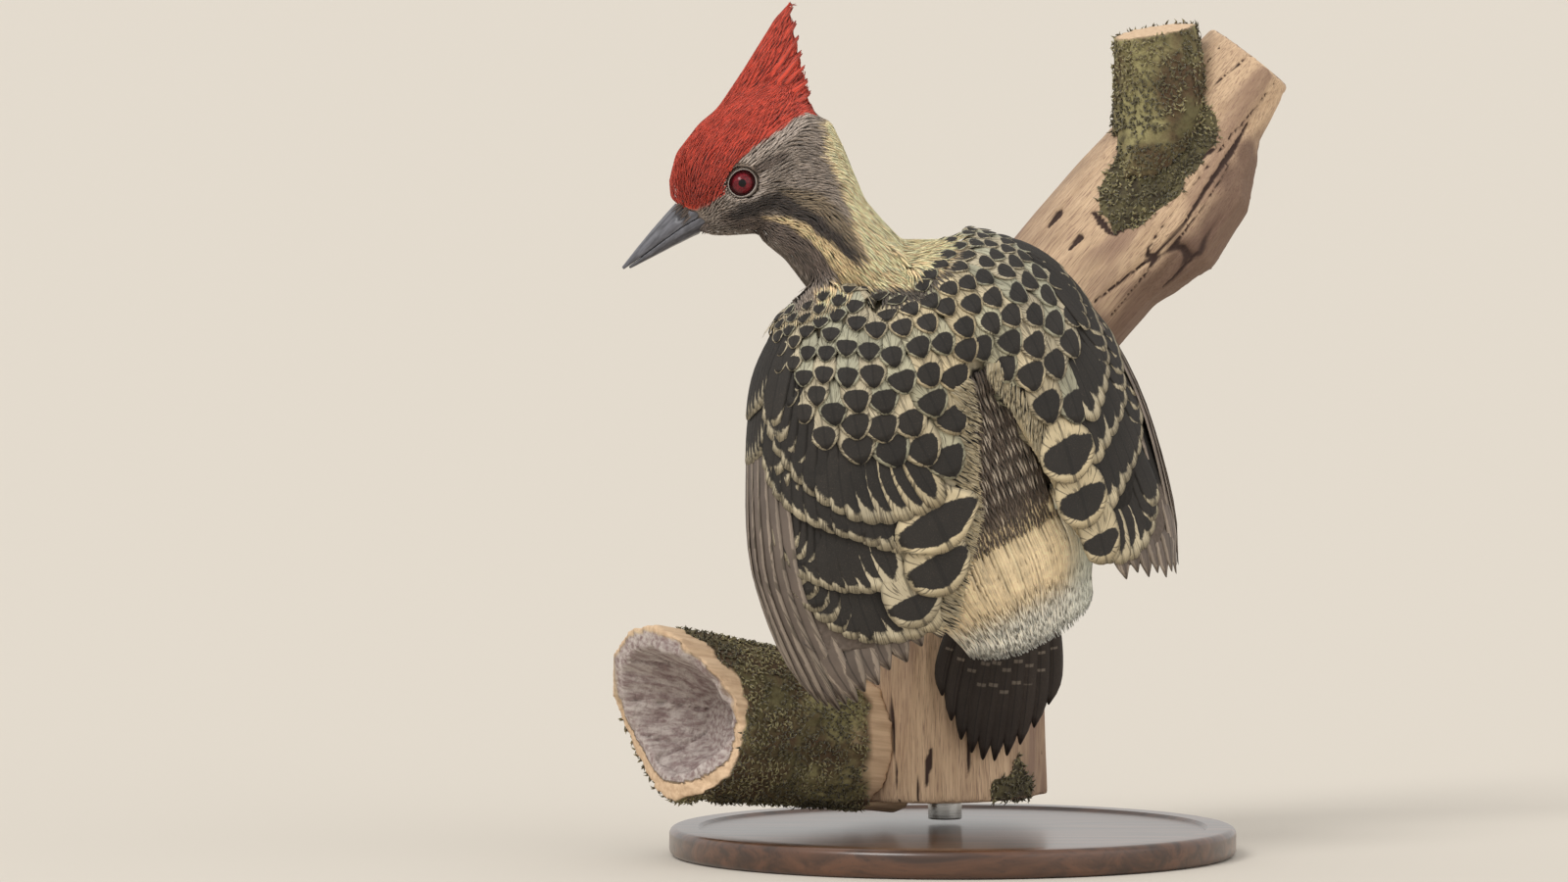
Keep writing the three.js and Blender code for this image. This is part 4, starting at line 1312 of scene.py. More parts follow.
class WOODPECKER_OT_face_coat(Operator):
    """Cover the face, cap and neck with the smallest tufts"""

    bl_idname = "woodpecker.face_coat"
    bl_label = "Face and neck coat"

    def execute(self, context):
        look, form = looks(), bird()
        head = form.head
        head_parts = form.is_part("head", "neck", "crest")
        collar_reach = 29 + 7 * (np.abs(form.body[:, 0] - 2) < 8)
        on_collar = form.is_part("torso", "wing_left", "wing_right") & (form.body[:, 2] > 27) & (
            far_from(head, SKULL) < collar_reach)
        on_crest = (head[:, 2] > CAP_EDGE(head[:, 0]) - 0.3) & head_parts
        spread = keyed((0, 0.9), (9, 1.0), (16, 1.1), (26, 1.3), (40, 1.4))
        spacing = look.face_spacing / MM * spread(far_from(head, (8, 0, 0)))
        clear = (eye_gap(head) > 3.0) | (np.abs(head[:, 1]) < 4)
        clear &= near_bill(form.surface.centres) > 0.4
        on_neck = form.is_part("neck", "torso", "wing_left", "wing_right")
        for part, label, seed in ((~on_neck, "face_coat", 11), (on_neck, "neck_coat", 13)):
            coat = Coat()
            roots = form.roots((head_parts | on_collar) & ~on_crest & clear & part, spacing, seed)
            far = far_from(HEAD.within(roots), (8, 0, 0))
            length = keyed((0, 1.0), (8, 1.7), (18, 2.6), (34, 4.2))(far)
            line, up = clear_of_eye(roots, length, 3, 2.6)
            tone = jitter(plumage_colours(line[:, 1], look), seed, 0.2)
            grow(coat, line, up, 0.09 + 0.065 * length, thick=0.07, sink=0.25, rise=0.03 + 0.04 * length,
                 droop=0.03, tone=tone, tip=np.clip(tone * 1.3, 0, 1))
            coat.finish(label, "plumage_grey", (), soft_plumage(label + "_plumage", 0.12, 0.05))

        cap = Coat()
        roots = form.roots(on_crest & clear & (head[:, 0] > -20.5), spacing * 1.05, 12)
        forward, _, height = HEAD.within(roots).T
        length = keyed((-24, 6), (-12, 6), (2, 4.5), (9, 2.6), (14, 1.6))(forward)
        to_rear_edge = forward + 16.2 + 0.58 * (height - 2.4)
        length = np.minimum(length, np.maximum(to_rear_edge + 0.8, 1.2))
        line, up = clear_of_eye(roots, length, 4, 3.0, 0.6)
        share = np.random.default_rng(5).random((len(roots), 1)) ** 1.6
        grow(cap, line, up, length * 0.045 + 0.06, thick=0.12, sink=0.35, rise=0.12, droop=0.05,
             tone=lerp(look.crest, look.crest_dark, share * 0.8), tip=jitter(look.crest, 6, 0.25, len(roots)))
        self.crest_locks(cap, look)
        cap.finish("crest_coat", "crest_red", (), soft_plumage("crest_plumage", 0.3, 0.15))
        return {"FINISHED"}

    def crest_locks(self, coat, look):
        """Long loose locks that make the ragged rear edge of the crest."""
        dice = np.random.default_rng(8)
        many = 150
        clumps = 7
        fan = dice.random(many)
        gather = lerp(fan, (np.floor(fan * clumps) + 0.5) / clumps, 0.75)
        side = (dice.random(many) * 2 - 1) * lerp(2.6, 1.4, fan)
        bends = []
        for t, spread in ((0, 0.6), (0.4, 1.0), (0.72, 0.9), (1, 0.6)):
            at = lerp(fan, gather, t ** 2)
            f = lerp(lerp(-5, 0, at), lerp(-16.2, -25, at ** 1.15), t) + (t == 1) * dice.random(many) * 1.4
            u = lerp(lerp(4.6, 9.8, at), lerp(2.4, 17.6, at ** 1.1), t) + np.sin(np.pi * t) * lerp(0.3, 0, at)
            bends.append(HEAD.out(np.stack((f, side * spread, u), -1)))
        line = resample(np.stack(bends, 1), np.arange(4.0), np.linspace(0, 3, 8))
        up = np.broadcast_to(HEAD.turn((0, 1, 0)), line.shape) * np.sign(side)[:, None, None]
        share = dice.random((many, 1)) ** 1.5
        grow(coat, line, up, 0.75, thick=0.3, sink=0, rise=0, tone=lerp(look.crest, look.crest_dark, share),
             tip=jitter(look.crest, 9, 0.25, many))


class WOODPECKER_OT_body_coat(Operator):
    """Cover breast, belly, flanks, thighs, lower back and rump"""

    bl_idname = "woodpecker.body_coat"
    bl_label = "Body coat"

    def execute(self, context):
        look, form = looks(), bird()
        _, y, z = form.body.T
        back = form.is_part("torso") & (y < -2) & (z < 12)
        lining = form.is_part("wing_left", "wing_right")
        for wing in WINGS:
            degrees, mine = wing.degrees(form.body), wing.mine(form.body)
            lining &= ~mine | (wing.faces_out(form) < -0.45) & (degrees > 34) & (z > -20)
            back &= ~mine | (degrees < INNER_EDGE[wing.name](z) + 8) | (z < -16)
        self.underparts(form, look, back)
        self.rump(form, look, back & (z < -13.5))
        self.lower_back(form, look, back & (z > -18))

        coat = Coat()
        roots = form.roots(lining, 1.7, 23)
        line, up = form.march(roots, 3.6, 3)
        tone = jitter(look.quill, 4, many=len(roots))
        grow(coat, line, up, 0.85, thick=0.12, sink=0.5, droop=0.1, outline=body_outline, tone=tone,
             tip=np.clip(tone * 1.35, 0, 1))
        coat.finish("wing_lining_coat", "plumage_grey", (), soft_plumage("lining_plumage", 0.2, 0.2))
        return {"FINISHED"}

    def underparts(self, form, look, back):
        """Soft dark feathers of breast, belly, flanks and thighs."""
        _, y, z = form.body.T
        legs = form.is_part("leg_left", "leg_right")
        wanted = form.is_part("torso", "leg_left", "leg_right") & ~back & ~(legs & (z < ANKLE + 1)) & (
            far_from(form.head, SKULL) > 29) & ((y > lerp(-4, 1, smooth(14, 20, z))) | (z < -15))
        coat = Coat()
        roots = form.roots(wanted, np.where(legs, 0.8, 1.0) * look.body_spacing / MM, 21)
        line, up = form.march(roots, np.where(BODY.within(roots)[:, 2] < -22, 6.0, 4.8), 4)
        tone = jitter(plumage_colours(line[:, 3], look), 2, 0.15)
        grow(coat, line, up, 0.75, thick=0.15, sink=0.6, rise=0.6, droop=0.12, outline=body_outline,
             tone=tone, tip=np.clip(tone * 1.3, 0, 1))
        coat.finish("underparts_coat", "plumage_grey", (), soft_plumage("underparts_plumage", 0.22, 0.3))

    def rump(self, form, look, wanted):
        coat = Coat()
        roots = form.roots(wanted, 0.62, 22)
        z = BODY.within(roots)[:, 2]
        line, up = form.march(roots, keyed((-39, 8.5), (-32, 7), (-24, 4.8), (-14, 4))(z), 5)
        tone = jitter(plumage_colours(line[:, 3], look), 3, 0.1)
        tip = np.where((z < -25)[:, None], jitter(look.rump_tip, 33, 0.06, len(roots)), tone * 1.08)
        grow(coat, line, up, 0.44, thick=0.08, sink=0.3, rise=0.15, droop=0.04, tone=tone,
             tip=np.clip(tip, 0, 1))
        self.skirt(coat, look)
        coat.finish("rump_coat", "plumage_buff", (), soft_plumage("rump_plumage", 0.08, 0.0))

    def skirt(self, coat, look):
        """Long fine tips of the rump that end in a ragged white edge over the tail's root."""
        dice = np.random.default_rng(31)
        many = 1700
        x = dice.random(many) * 2 - 1
        start = -19 - 12 * dice.random(many) - 6 * x ** 4
        reach = np.maximum(-40.2, start - 12) - 1.6 * dice.random(many) + 2.5 * np.abs(x) ** 3
        z = lerp(start[:, None], reach[:, None], np.linspace(0, 1, 7)[None])
        upward = smooth(-41, -24, z)
        y = -(6.2 + 4.7 * upward) * np.sqrt(1 - (0.97 * x[:, None]) ** 2)
        line = BODY.out(np.stack((x[:, None] * lerp(12.8, 18.6, upward), y, z), -1))
        up = unit(BODY.turn(np.stack((0.6 * x, -np.sqrt(1.02 - x ** 2), np.full(many, -0.15)), -1)))
        green = smooth(0.3, 0.9, x)[:, None]
        tone = lerp(jitter(look.rump, 32, 0.1, many), look.rump_side, green)
        pale = smooth(-33, -38, reach)[:, None]
        tip = lerp(tone * 1.06, jitter(look.rump_tip, 33, 0.05, many), pale)
        grow(coat, line, np.broadcast_to(up[:, None], line.shape), 0.55, sink=0.6, droop=0.04, tone=tone,
             tip=lerp(tip, look.rump_side, green * 0.5))

    def lower_back(self, form, look, wanted):
        """Dark hairs between the wings, with rows of pale dashes."""
        coat = Coat()
        roots = form.roots(wanted, 0.62, 24)
        line, up = form.march(roots, 3.4, 4)
        dash = self.dashes(BODY.within(line[:, 4]))[:, None]
        tone = lerp(jitter(look.lower_back, 34, 0.28, len(roots)), look.lower_back_bar, 0.75 * dash)
        grow(coat, line, up, 0.34, rise=0.3, droop=0.04, tone=tone,
             tip=lerp(jitter(tone, 35, 0.1), look.lower_back_bar, dash))
        coat.finish("lower_back_coat", "plumage_spotted", (), soft_plumage("lower_back_plumage", 0.12, 0.1))

    def dashes(self, body):
        """Where the pale dashes of the lower back lie: short bars in slightly curved rows."""
        x, _, z = body.T
        row = (z + 16.2 + 0.03 * x ** 2) / 3.45
        index = np.round(row)
        column = (x + 40 + 1.3 * (index % 2)) / 2.6
        inside = (np.abs(row - index) < 0.2) & (np.abs(column - np.round(column)) < 0.36)
        return inside * smooth(10, 4, z) * smooth(-16, -14.5, z)


# ---- mantle and wings ----
SPOT_EDGE = {                             # the mantle's lower border: (degrees, height)
    "left": keyed((0, 1), (7, -4), (12, -4), (16, -1), (23, 1), (29, 4), (35, 6.5), (43, 7.5), (50, 11),
                  (57, 13), (63, 16), (69, 20.5), (73, 24.5), (84, 30)),
    "right": keyed((0, 4), (9, -5), (24, -6.5), (28, -5), (31, 1), (37, 4.5), (49, 8.5), (55, 12.5), (62, 17),
                   (74, 23), (90, 28)),
}
INNER_EDGE = {                            # its border beside the spine: (height, degrees)
    "left": keyed((-30, 24), (-24, 19), (-20, 15.5), (-16, 12), (-12, 8.5), (-5, 6), (0.5, 4), (5.5, 1),
                  (11, 0), (17, -3)),
    "right": keyed((-33, 21), (-26, 15), (-20, 11.5), (-12, 11), (-7, 8), (-2, 7), (3.5, 5), (9.5, 2),
                   (17, 0)),
}
SPOT_SPACING = keyed((-8, 5.9), (0, 5.7), (8, 5.1), (15, 4.3), (22, 3.6), (28, 3.0), (34, 2.5))
SPOT_AT = 0.76                            # how far along its feather a spot lies


def spot_spacing(points, wing):
    body = BODY.within(points)
    return SPOT_SPACING(body[:, 2]) * lerp(1, 0.8, smooth(30, 70, wing.degrees(body)))


def spots_of(wing):
    """The evenly spread centres of one side's spotted feathers, made once."""
    key = "spots_" + wing.name
    if key in shared:
        return shared[key]
    form = bird()
    x, y, z = form.body.T
    degrees = wing.degrees(form.body)
    spacing = spot_spacing(form.surface.centres, wing)
    wanted = x * wing.side > (0.4 if wing.side > 0 else 0.0)
    wanted &= form.is_part("torso", f"wing_{wing.name}", "neck") & (y < 2) & (z < 38)
    wanted &= z > SPOT_EDGE[wing.name](degrees) + 0.35 * spacing
    wanted &= (degrees > INNER_EDGE[wing.name](z) + 1.7 * spacing) | (z > 13)
    limit = lerp(30, 35.2, smooth(-7, -4, x) * smooth(12, 9, x)) - 2.5 * smooth(-8, -12, x)
    wanted &= (degrees < 94) & (far_from(form.head, SKULL) > limit) & (wing.faces_out(form) > 0)
    roots = form.roots(wanted, 0.9 * spacing, 41 + wing.side)
    shared[key] = form.surface.spread_out(roots, lambda at: spot_spacing(at, wing), wanted)
    return shared[key]


class WOODPECKER_OT_mantle(Operator):
    """Lay the round spotted feathers of the mantle and the smaller wing coverts"""

    bl_idname = "woodpecker.mantle"
    bl_label = "Mantle"

    def execute(self, context):
        coat = Coat()
        for wing in WINGS:
            self.lay(coat, wing, spots_of(wing), looks())
        coat.finish("mantle_feathers", "plumage_spotted", (), marked_plumage("spotted_plumage"))
        return {"FINISHED"}

    def lay(self, coat, wing, spots, look):
        many = len(spots)
        x, _, z = BODY.within(spots).T
        degrees = wing.degrees(BODY.within(spots))
        size = spot_spacing(spots, wing)
        away = np.maximum(smooth(30, 37, far_from(HEAD.within(spots), SKULL)), smooth(-4, -9, x))
        length = 2.2 * size * lerp(0.6, 1, away)
        back = bird().march(spots, SPOT_AT * length, 5, 0.4, sense=-1)
        ahead = bird().march(spots, (1 - SPOT_AT) * length, 2, 0.4)
        places = np.concatenate((np.linspace(0, SPOT_AT, 6), np.linspace(SPOT_AT, 1, 3)[1:])) * 7
        whole = [np.concatenate((root[:, ::-1], end[:, 1:]), 1) for root, end in zip(back, ahead)]
        line, up = (resample(values, places, np.linspace(0, 7, 8)) for values in whole)
        dice = np.random.default_rng(45 + wing.side)
        fringe = lerp(look.fringe_buff, look.fringe, smooth(4, 34, degrees)[:, None])
        green = (dice.random((many, 1)) < 0.4) * 0.5
        fringe = jitter(lerp(fringe, look.fringe_green, green), 43)
        inner = smooth(26, 8, degrees) * smooth(16, 6, z)
        wide = 0.73 + 0.15 * dice.random(many) + 0.08 * inner
        tall = 0.215 + 0.03 * dice.random(many) - 0.02 * inner
        mark = np.stack((wide, tall, np.full(many, SPOT_AT - 0.005)), -1)
        grow(coat, line, up, size * 0.68, across=6, thick=0.14, sink=0.55, rise=0.14 + 0.06 * size,
             droop=0.12, tilt=(dice.random(many) - 0.5) * 0.1, round_tip=0.8, outline=body_outline,
             on=bird().surface, patch=np.clip(size * 0.003, 0.004, 0.016),
             tone=jitter(look.spot, 44, 0.12, many), tip=fringe, mark=mark)


class Row:
    """Broad wing feathers whose tips lie along an arc of (degrees, height) places, from the edge inwards."""

    def __init__(self, arc, count, length, width, inner, lift, fan=0.5):
        self.arc, self.count, self.length, self.width = np.array(arc, float), count, length, width
        self.inner, self.lift, self.fan = inner, lift, fan

    def places(self, wing):
        """The tips, evenly spaced along the arc as measured on the wing, and their shares of it."""
        fine = np.linspace(0, 1, 120)
        knots = np.linspace(0, 1, len(self.arc))
        degrees, z = np.interp(fine, knots, self.arc[:, 0]), np.interp(fine, knots, self.arc[:, 1])
        run = run_along(wing.place(degrees, z))
        shares = (np.arange(self.count) + 0.5) / self.count
        return np.interp(shares, run / run[-1], degrees), np.interp(shares, run / run[-1], z), shares


def run_along(line):
    """The distance along a line at each of its points."""
    return np.concatenate(((0,), np.cumsum(np.linalg.norm(np.diff(line, axis=0), axis=1))))


# From the longest coverts up to the shoulder, then the rows on the wing's leading edge.
ROWS = {
    "left": (
        Row(((68, -9), (65, -11.5), (59, -17), (52, -22), (44, -25.5), (35, -27.5), (27, -27.5)), 11, 15, 2.7,
            0.75, -0.5),
        Row(((70, -3), (66, -6), (60, -10), (50, -14), (41, -16.3), (33, -17.5)), 11, 15, 2.7, 0.85, -0.3),
        Row(((76, 10), (71, 5.5), (61, 1), (49, -3.5), (40, -7), (32, -11), (25, -13.5)), 13, 15, 2.8,
            0.85, -0.1),
        Row(((77, 18), (68, 11), (57, 5), (48, 0.5), (39, -4), (31, -6), (25, -6.8), (17, -6.5)), 14, 15, 2.5,
            0.62, 0.1),
        Row(((100, 10), (92, 10.5), (84, 12), (76, 15)), 8, 14, 1.5, 3, -0.3, 0.15),
        Row(((98, 17), (90, 18.5), (82, 20), (76, 22)), 7, 12, 1.4, 9, -0.2, 0.15),
    ),
    "right": (
        Row(((52, -27), (44, -31.5), (39, -33.5), (32, -34.3), (25, -33.5), (18, -29.5)), 8, 14, 2.5,
            0.4, -0.5),
        Row(((74, -6), (60, -13), (50, -17.5), (42, -19.5), (35, -21.5), (26, -24)), 10, 14, 2.5, 0.8, -0.3),
        Row(((80, 4), (62, -3), (50, -9), (40, -11.5), (33, -13), (26, -15)), 10, 13, 2.5, 0.8, -0.1),
        Row(((84, 12), (70, 9), (57, 3.5), (49, -1.5), (41, -4.5), (31, -8)), 11, 13, 2.3, 0.8, 0.1),
        Row(((100, 0), (93, 2), (87, 6), (80, 10)), 8, 14, 1.5, 3, -0.3, 0.15),
        Row(((98, 12), (92, 13), (84, 16), (70, 17), (60, 11), (50, 6)), 10, 12, 1.7, 9, 0.2, 0.2),
    ),
}
# The broad barred inner feathers: the middle of the last dark bar, then half its width and half its height.
TERTIALS = {
    "left": ((31, -21.8, 5.0, 2.3), (22.5, -17.5, 5.8, 3.1), (19.5, -9.9, 7.8, 3.3)),
    "right": ((20, -28, 4.0, 2.1), (17.5, -19.3, 5.2, 2.9), (17.5, -10.0, 5.6, 3.3)),
}
TERTIAL_BORDER = 1.5                      # from the last dark bar to the feather's tip


class WOODPECKER_OT_wings(Operator):
    """Lay the rows of barred wing feathers and the long flight feathers"""

    bl_idname = "woodpecker.wings"
    bl_label = "Wings"

    def execute(self, context):
        look = looks()
        barred = marked_plumage("barred_plumage")
        plain = marked_plumage("flight_plumage", gloss=0.6)
        for wing in WINGS:
            coverts, flights = Coat(), Coat()
            for index, row in enumerate(ROWS[wing.name]):
                self.row(coverts, wing, row, index, look)
            self.rim(coverts, wing, look)
            self.tertials(coverts, wing, look)
            coverts.finish(f"wing_{wing.name}_coverts", "plumage_spotted", (), barred)
            self.flights(flights, wing, look)
            flights.finish(f"wing_{wing.name}_flight_vanes", "flight_feather", (f"wing_{wing.name}_flight",),
                           plain)
        return {"FINISHED"}

    def row(self, coat, wing, row, index, look):
        degrees, z, shares = row.places(wing)
        edged = smooth(row.inner - 0.2, row.inner + 0.1, shares)
        dice = np.random.default_rng(60 + index)
        top = 1 - lerp(0.05, 0.13, edged) * (0.8 + 0.5 * dice.random(row.count))
        mark = np.stack((lerp(1.6, 0.78, edged), top - 0.4, np.full(row.count, 0.4)), -1)
        self.vanes(coat, wing, degrees, z, row.length, np.full(row.count, row.width), row.lift, row.fan, mark,
                   61 + index, look)

    def vanes(self, coat, wing, degrees, z, length, width, lift, fan, mark, seed, look):
        """Vanes whose tips lie at the given places; their roots fan in towards the shoulder."""
        v = np.linspace(0, 1, 9)
        toward = (SHOULDER[0] - degrees) * fan * length / np.maximum(SHOULDER[1] - z, 12)
        d = degrees[:, None] + toward[:, None] * (1 - v)[None]
        height = z[:, None] + length * (1 - v)[None]
        line = wing.place(d, height, lift + lerp(-0.35, 0.75, v ** 0.7)[None])
        fringe = lerp(look.fringe_buff, look.fringe, smooth(12, 40, degrees)[:, None])
        grow(coat, line, wing.outward(d, height), width, across=8, thick=0.15, sink=0.2, droop=0.1,
             tilt=-0.14 * wing.side, round_tip=0.55, outline=body_outline, patch=0.014,
             tone=jitter(look.spot, seed, 0.1, len(degrees)), tip=jitter(fringe, seed + 1, 0.08), mark=mark)

    def rim(self, coat, wing, look):
        """Fine pale hairs along the wing's inner edge, under the broad barred feathers."""
        dice = np.random.default_rng(97)
        many = 820
        z = lerp(-27, 13, dice.random(many))
        degrees = INNER_EDGE[wing.name](z) + lerp(4, 9.5, dice.random(many))
        t = np.linspace(0, 1, 5)
        d, height = degrees[:, None] - 2.6 * t, z[:, None] - 2.2 * t
        line = wing.place(d, height, np.broadcast_to(lerp(-0.1, 0.25, t), d.shape))
        pale = lerp(look.fringe_buff, look.fringe, dice.random((many, 1)))
        tone = np.where(dice.random((many, 1)) < 0.16, np.array(look.spot), pale)
        grow(coat, line, wing.outward(d, height), 0.2, sink=0.1, tone=jitter(tone, 98, 0.12))

    def tertials(self, coat, wing, look):
        """The broad inner feathers, each with one wide dark bar inside a pale border."""
        for index, (degrees, z, wide, tall) in enumerate(TERTIALS[wing.name]):
            length = 15 - 1.3 * index
            to_tip = tall + TERTIAL_BORDER
            mark = (0.97, tall / length, 1 - to_tip / length)
            self.vanes(coat, wing, np.array((float(degrees),)), np.array((z - to_tip,)), length,
                       (wide / 0.95,), 0.25 + 0.12 * index, 0.3, mark, 90 + index, look)

    def flights(self, coat, wing, look):
        """Long pointed vanes; the outer ones lie bare on the wing, the inner ones come out under it."""
        many = 13
        degrees = lerp(26, 100, (np.arange(many) + 0.5) / many)
        tip = wing.tips((degrees - 30) / 72) - 0.9 + 0.8 * (np.arange(many) % 2)
        outer = smooth(56, 70, degrees)
        length = lerp(26, 14 - tip, outer)
        v = np.linspace(0, 1, 13)
        height = tip[:, None] + length[:, None] * (1 - v)[None]
        d = degrees[:, None] + (1 - v)[None] * 3 * outer[:, None]
        under = lerp(-1.8, -0.45, smooth(0.5, 0.8, v))[None]
        over = lerp(0.45, -1.0, smooth(0.4, 0.9, v))[None]
        line = wing.place(d, height, lerp(under, over, outer[:, None]))
        grow(coat, line, wing.outward(d, height), 2.7, across=6, thick=0.3, sink=0.1, droop=0.15,
             tilt=0.22 * wing.side, round_tip=1.0, outline=quill_outline, patch=0.02,
             tone=jitter(look.quill, 71, 0.15, many), tip=jitter(look.quill_edge, 72, 0.1, many),
             mark=(0.74, 0.6, 0.4))


# ---- tail ----
TAIL_ROOT = np.array((9.9, -17.2, 47))
TAIL_TIP = np.array((6.1, -6.2, 17.6))
TAIL_FEATHERS = 10


class WOODPECKER_OT_tail(Operator):
    """Make the fan of stiff pointed tail feathers"""

    bl_idname = "woodpecker.tail"
    bl_label = "Tail"

    def execute(self, context):
        look = looks()
        down = TAIL_TIP - TAIL_ROOT
        length = np.linalg.norm(down)
        down = down / length
        out = np.array((0.1, -1, 0))
        out = unit(out - down * (out @ down))
        place = (np.arange(TAIL_FEATHERS) + 0.5) / TAIL_FEATHERS * 2 - 1
        v = np.linspace(0, 1, 13)
        reach = length * (1 - 0.42 * np.abs(place) ** 2)
        side = place[:, None] * (6.6 + 4.1 * np.sin(np.pi * 0.6 * v))[None]
        crown = 1.5 - 0.024 * side ** 2 - (2.2 * v * (1 - v))[None] - 0.25 * np.abs(place)[:, None]
        line = (TAIL_ROOT + down * (reach[:, None] * v[None])[..., None]
                + np.cross(down, out) * side[..., None] + out * crown[..., None])
        coat = Coat()
        grow(coat, line, np.broadcast_to(out, line.shape), 1.75, across=8, thick=0.5, sink=0, rise=0,
             droop=0.35, tilt=-0.2 * np.sign(place), round_tip=1.0, outline=quill_outline, patch=0.02,
             tone=jitter(look.tail, 81, 0.12, TAIL_FEATHERS),
             tip=jitter(look.tail_mark, 82, 0.08, TAIL_FEATHERS), mark=(3, 0.8, 0.4))
        coat.finish("tail_vanes", "tail_feather", ("tail",), marked_plumage("tail_plumage", 0.75, 0.6))
        return {"FINISHED"}


# ---- bill, eyes and claws ----
class WOODPECKER_OT_bill(Operator):
    """Make the chisel bill from its two halves, with a ridge, nostrils and bristles"""

    bl_idname = "woodpecker.bill"
    bl_label = "Bill"

    def execute(self, context):
        colour = context.scene.woodpecker_head.bill
        finish = horn_finish("bill_horn", colour, 0.36, 1.0, stretch=(2.2, 2.2, 0.14), along="along")
        for node in BILL:
            piece = copy_of(node + "_horn", node)
            remesh(piece, 0.16, 6, 0.14)
            head = HEAD.within(points_of(piece))
            if node == "bill_upper":
                head = self.shape_upper(head)
            set_points(piece, HEAD.out(head))
            set_vector(piece, "along", head[:, (1, 2, 0)])
            piece.data.shade_smooth()
            settle_in(piece, "bill_horn", (node,), finish)
        self.bristles(looks())
        return {"FINISHED"}

    def shape_upper(self, head):
        """Sharpens the ridge, hollows a groove under it and opens a nostril on each side."""
        f, side, up = head.T
        off_line = up - lerp(2.9, 2.6, (f - 12) / 8)
        groove = np.exp(-(off_line / 0.55) ** 2) * smooth(10, 13, f) * smooth(23, 17, f)
        nostril = np.exp(-(((f - 14.4) / 0.9) ** 2 + ((up - 2.2) / 0.4) ** 2))
        side = side - np.sign(side) * np.minimum(0.28 * groove + 0.6 * nostril, 0.7 * np.abs(side))
        return np.stack((f, side, up), 1)

    def bristles(self, look):
        """Short stiff feathers that lean over the nostrils and the chin."""
        coat = Coat()
        dice = np.random.default_rng(91)
        many = 34
        for side in SIDES.values():
            for low, high, reach in ((0.9, 4.3, 2.6), (-2.4, -1.2, 1.4)):
                up = low + (high - low) * dice.random(many)
                start = np.stack((11.6 + dice.random(many), side * (3.4 - 0.1 * up), up), -1)
                way = np.stack((np.full(many, 1.0), side * (-0.12 + 0.2 * dice.random(many)),
                                -0.05 + 0.3 * (dice.random(many) - 0.5)), -1)
                ahead = np.linspace(0, reach, 5)[None] * (0.7 + 0.5 * dice.random((many, 1)))
                line = HEAD.out(start[:, None] + unit(way)[:, None] * ahead[..., None])
                outward = np.broadcast_to(HEAD.turn((0, side, 0.2)), line.shape)
                tone = jitter(look.malar, 92, 0.2, many)
                grow(coat, line, outward, 0.13, sink=0.2, tone=tone, tip=tone * 0.6)
        coat.finish("bill_bristles", "plumage_grey", (), soft_plumage("bristle_plumage", 0.3, 0.2))


class WOODPECKER_OT_eyes(Operator):
    """Make each wet eyeball, its bulging front and the lids round it"""

    bl_idname = "woodpecker.eyes"
    bl_label = "Eyes"

    def execute(self, context):
        settings = context.scene.woodpecker_head
        eye, lid = eye_finish(settings), lid_finish(settings.ring)
        for name, side in SIDES.items():
            centre = HEAD.out(np.array(EYE_AT) * (1, side, 1))
            self.ball(name, side, centre, settings, eye)
            self.lids(name, side, centre, lid)
        return {"FINISHED"}

    def sphere(self, label, centre, radius, segments, rings):
        """A ball whose poles face out of the side of the head."""
        return primitive(label, bpy.ops.mesh.primitive_uv_sphere_add, segments=segments, ring_count=rings,
                         radius=radius * MM, location=Vector(centre * MM), rotation=(math.pi / 2, 0, 0))

    def ball(self, name, side, centre, settings, finish):
        piece = self.sphere(f"eyeball_{name}", centre, EYE_RADIUS - 0.12, 48, 32)
        at = points_of(piece) - centre
        local = at @ HEAD.axes.T
        front = local[:, 1] * side > 0
        across = np.hypot(local[:, 0], local[:, 2])
        bulge = settings.cornea / MM * np.maximum(0, 1 - (across / 1.9) ** 2) * front
        set_points(piece, centre + at + HEAD.turn((0, side, 0)) * bulge[:, None])
        set_layer(piece, "gaze", np.where(front, across / 2.35, 1.0))
        piece.data.shade_smooth()
        settle_in(piece, "eye", (f"eye_{name}",), finish)

    def lids(self, name, side, centre, finish):
        """A thin shell over the ball with an almond opening."""
        piece = self.sphere(f"eyelids_{name}", centre, EYE_RADIUS + 0.04, 56, 40)
        local = (points_of(piece) - centre) @ HEAD.axes.T
        across = np.hypot(local[:, 0] / 1.06, local[:, 2])
        keep = (local[:, 1] * side > 0) & (across > 1.75) & (across < 2.72)
        select_in_edit(piece, "VERT", piece.data.vertices, ~keep)
        bpy.ops.mesh.delete(type="VERT")
        bpy.ops.object.mode_set(mode="OBJECT")
        local = (points_of(piece) - centre) @ HEAD.axes.T
        across = np.hypot(local[:, 0], local[:, 2])
        angle = np.arctan2(local[:, 2], local[:, 0])
        opening = 2.3 - 0.1 * np.sin(angle) ** 4 + 0.05 * np.cos(2 * angle)
        share = (across - across.min()) / (across.max() - across.min())
        reach = lerp(opening, 2.8, share)
        swell = 0.14 * np.sin(np.pi * np.clip(share * 1.1, 0, 1)) - 0.3 * share ** 3
        radius = EYE_RADIUS + 0.06 + swell
        out = side * np.sqrt(np.maximum(radius ** 2 - np.minimum(reach, radius * 0.98) ** 2, 0))
        local = np.stack((np.cos(angle) * reach, out, np.sin(angle) * reach), -1)
        set_points(piece, centre + local @ HEAD.axes)
        modify(piece, "SOLIDIFY", thickness=0.2 * MM, offset=-1)
        subdivide(piece, 1)
        piece.data.shade_smooth()
        settle_in(piece, "foot_skin", (), finish)


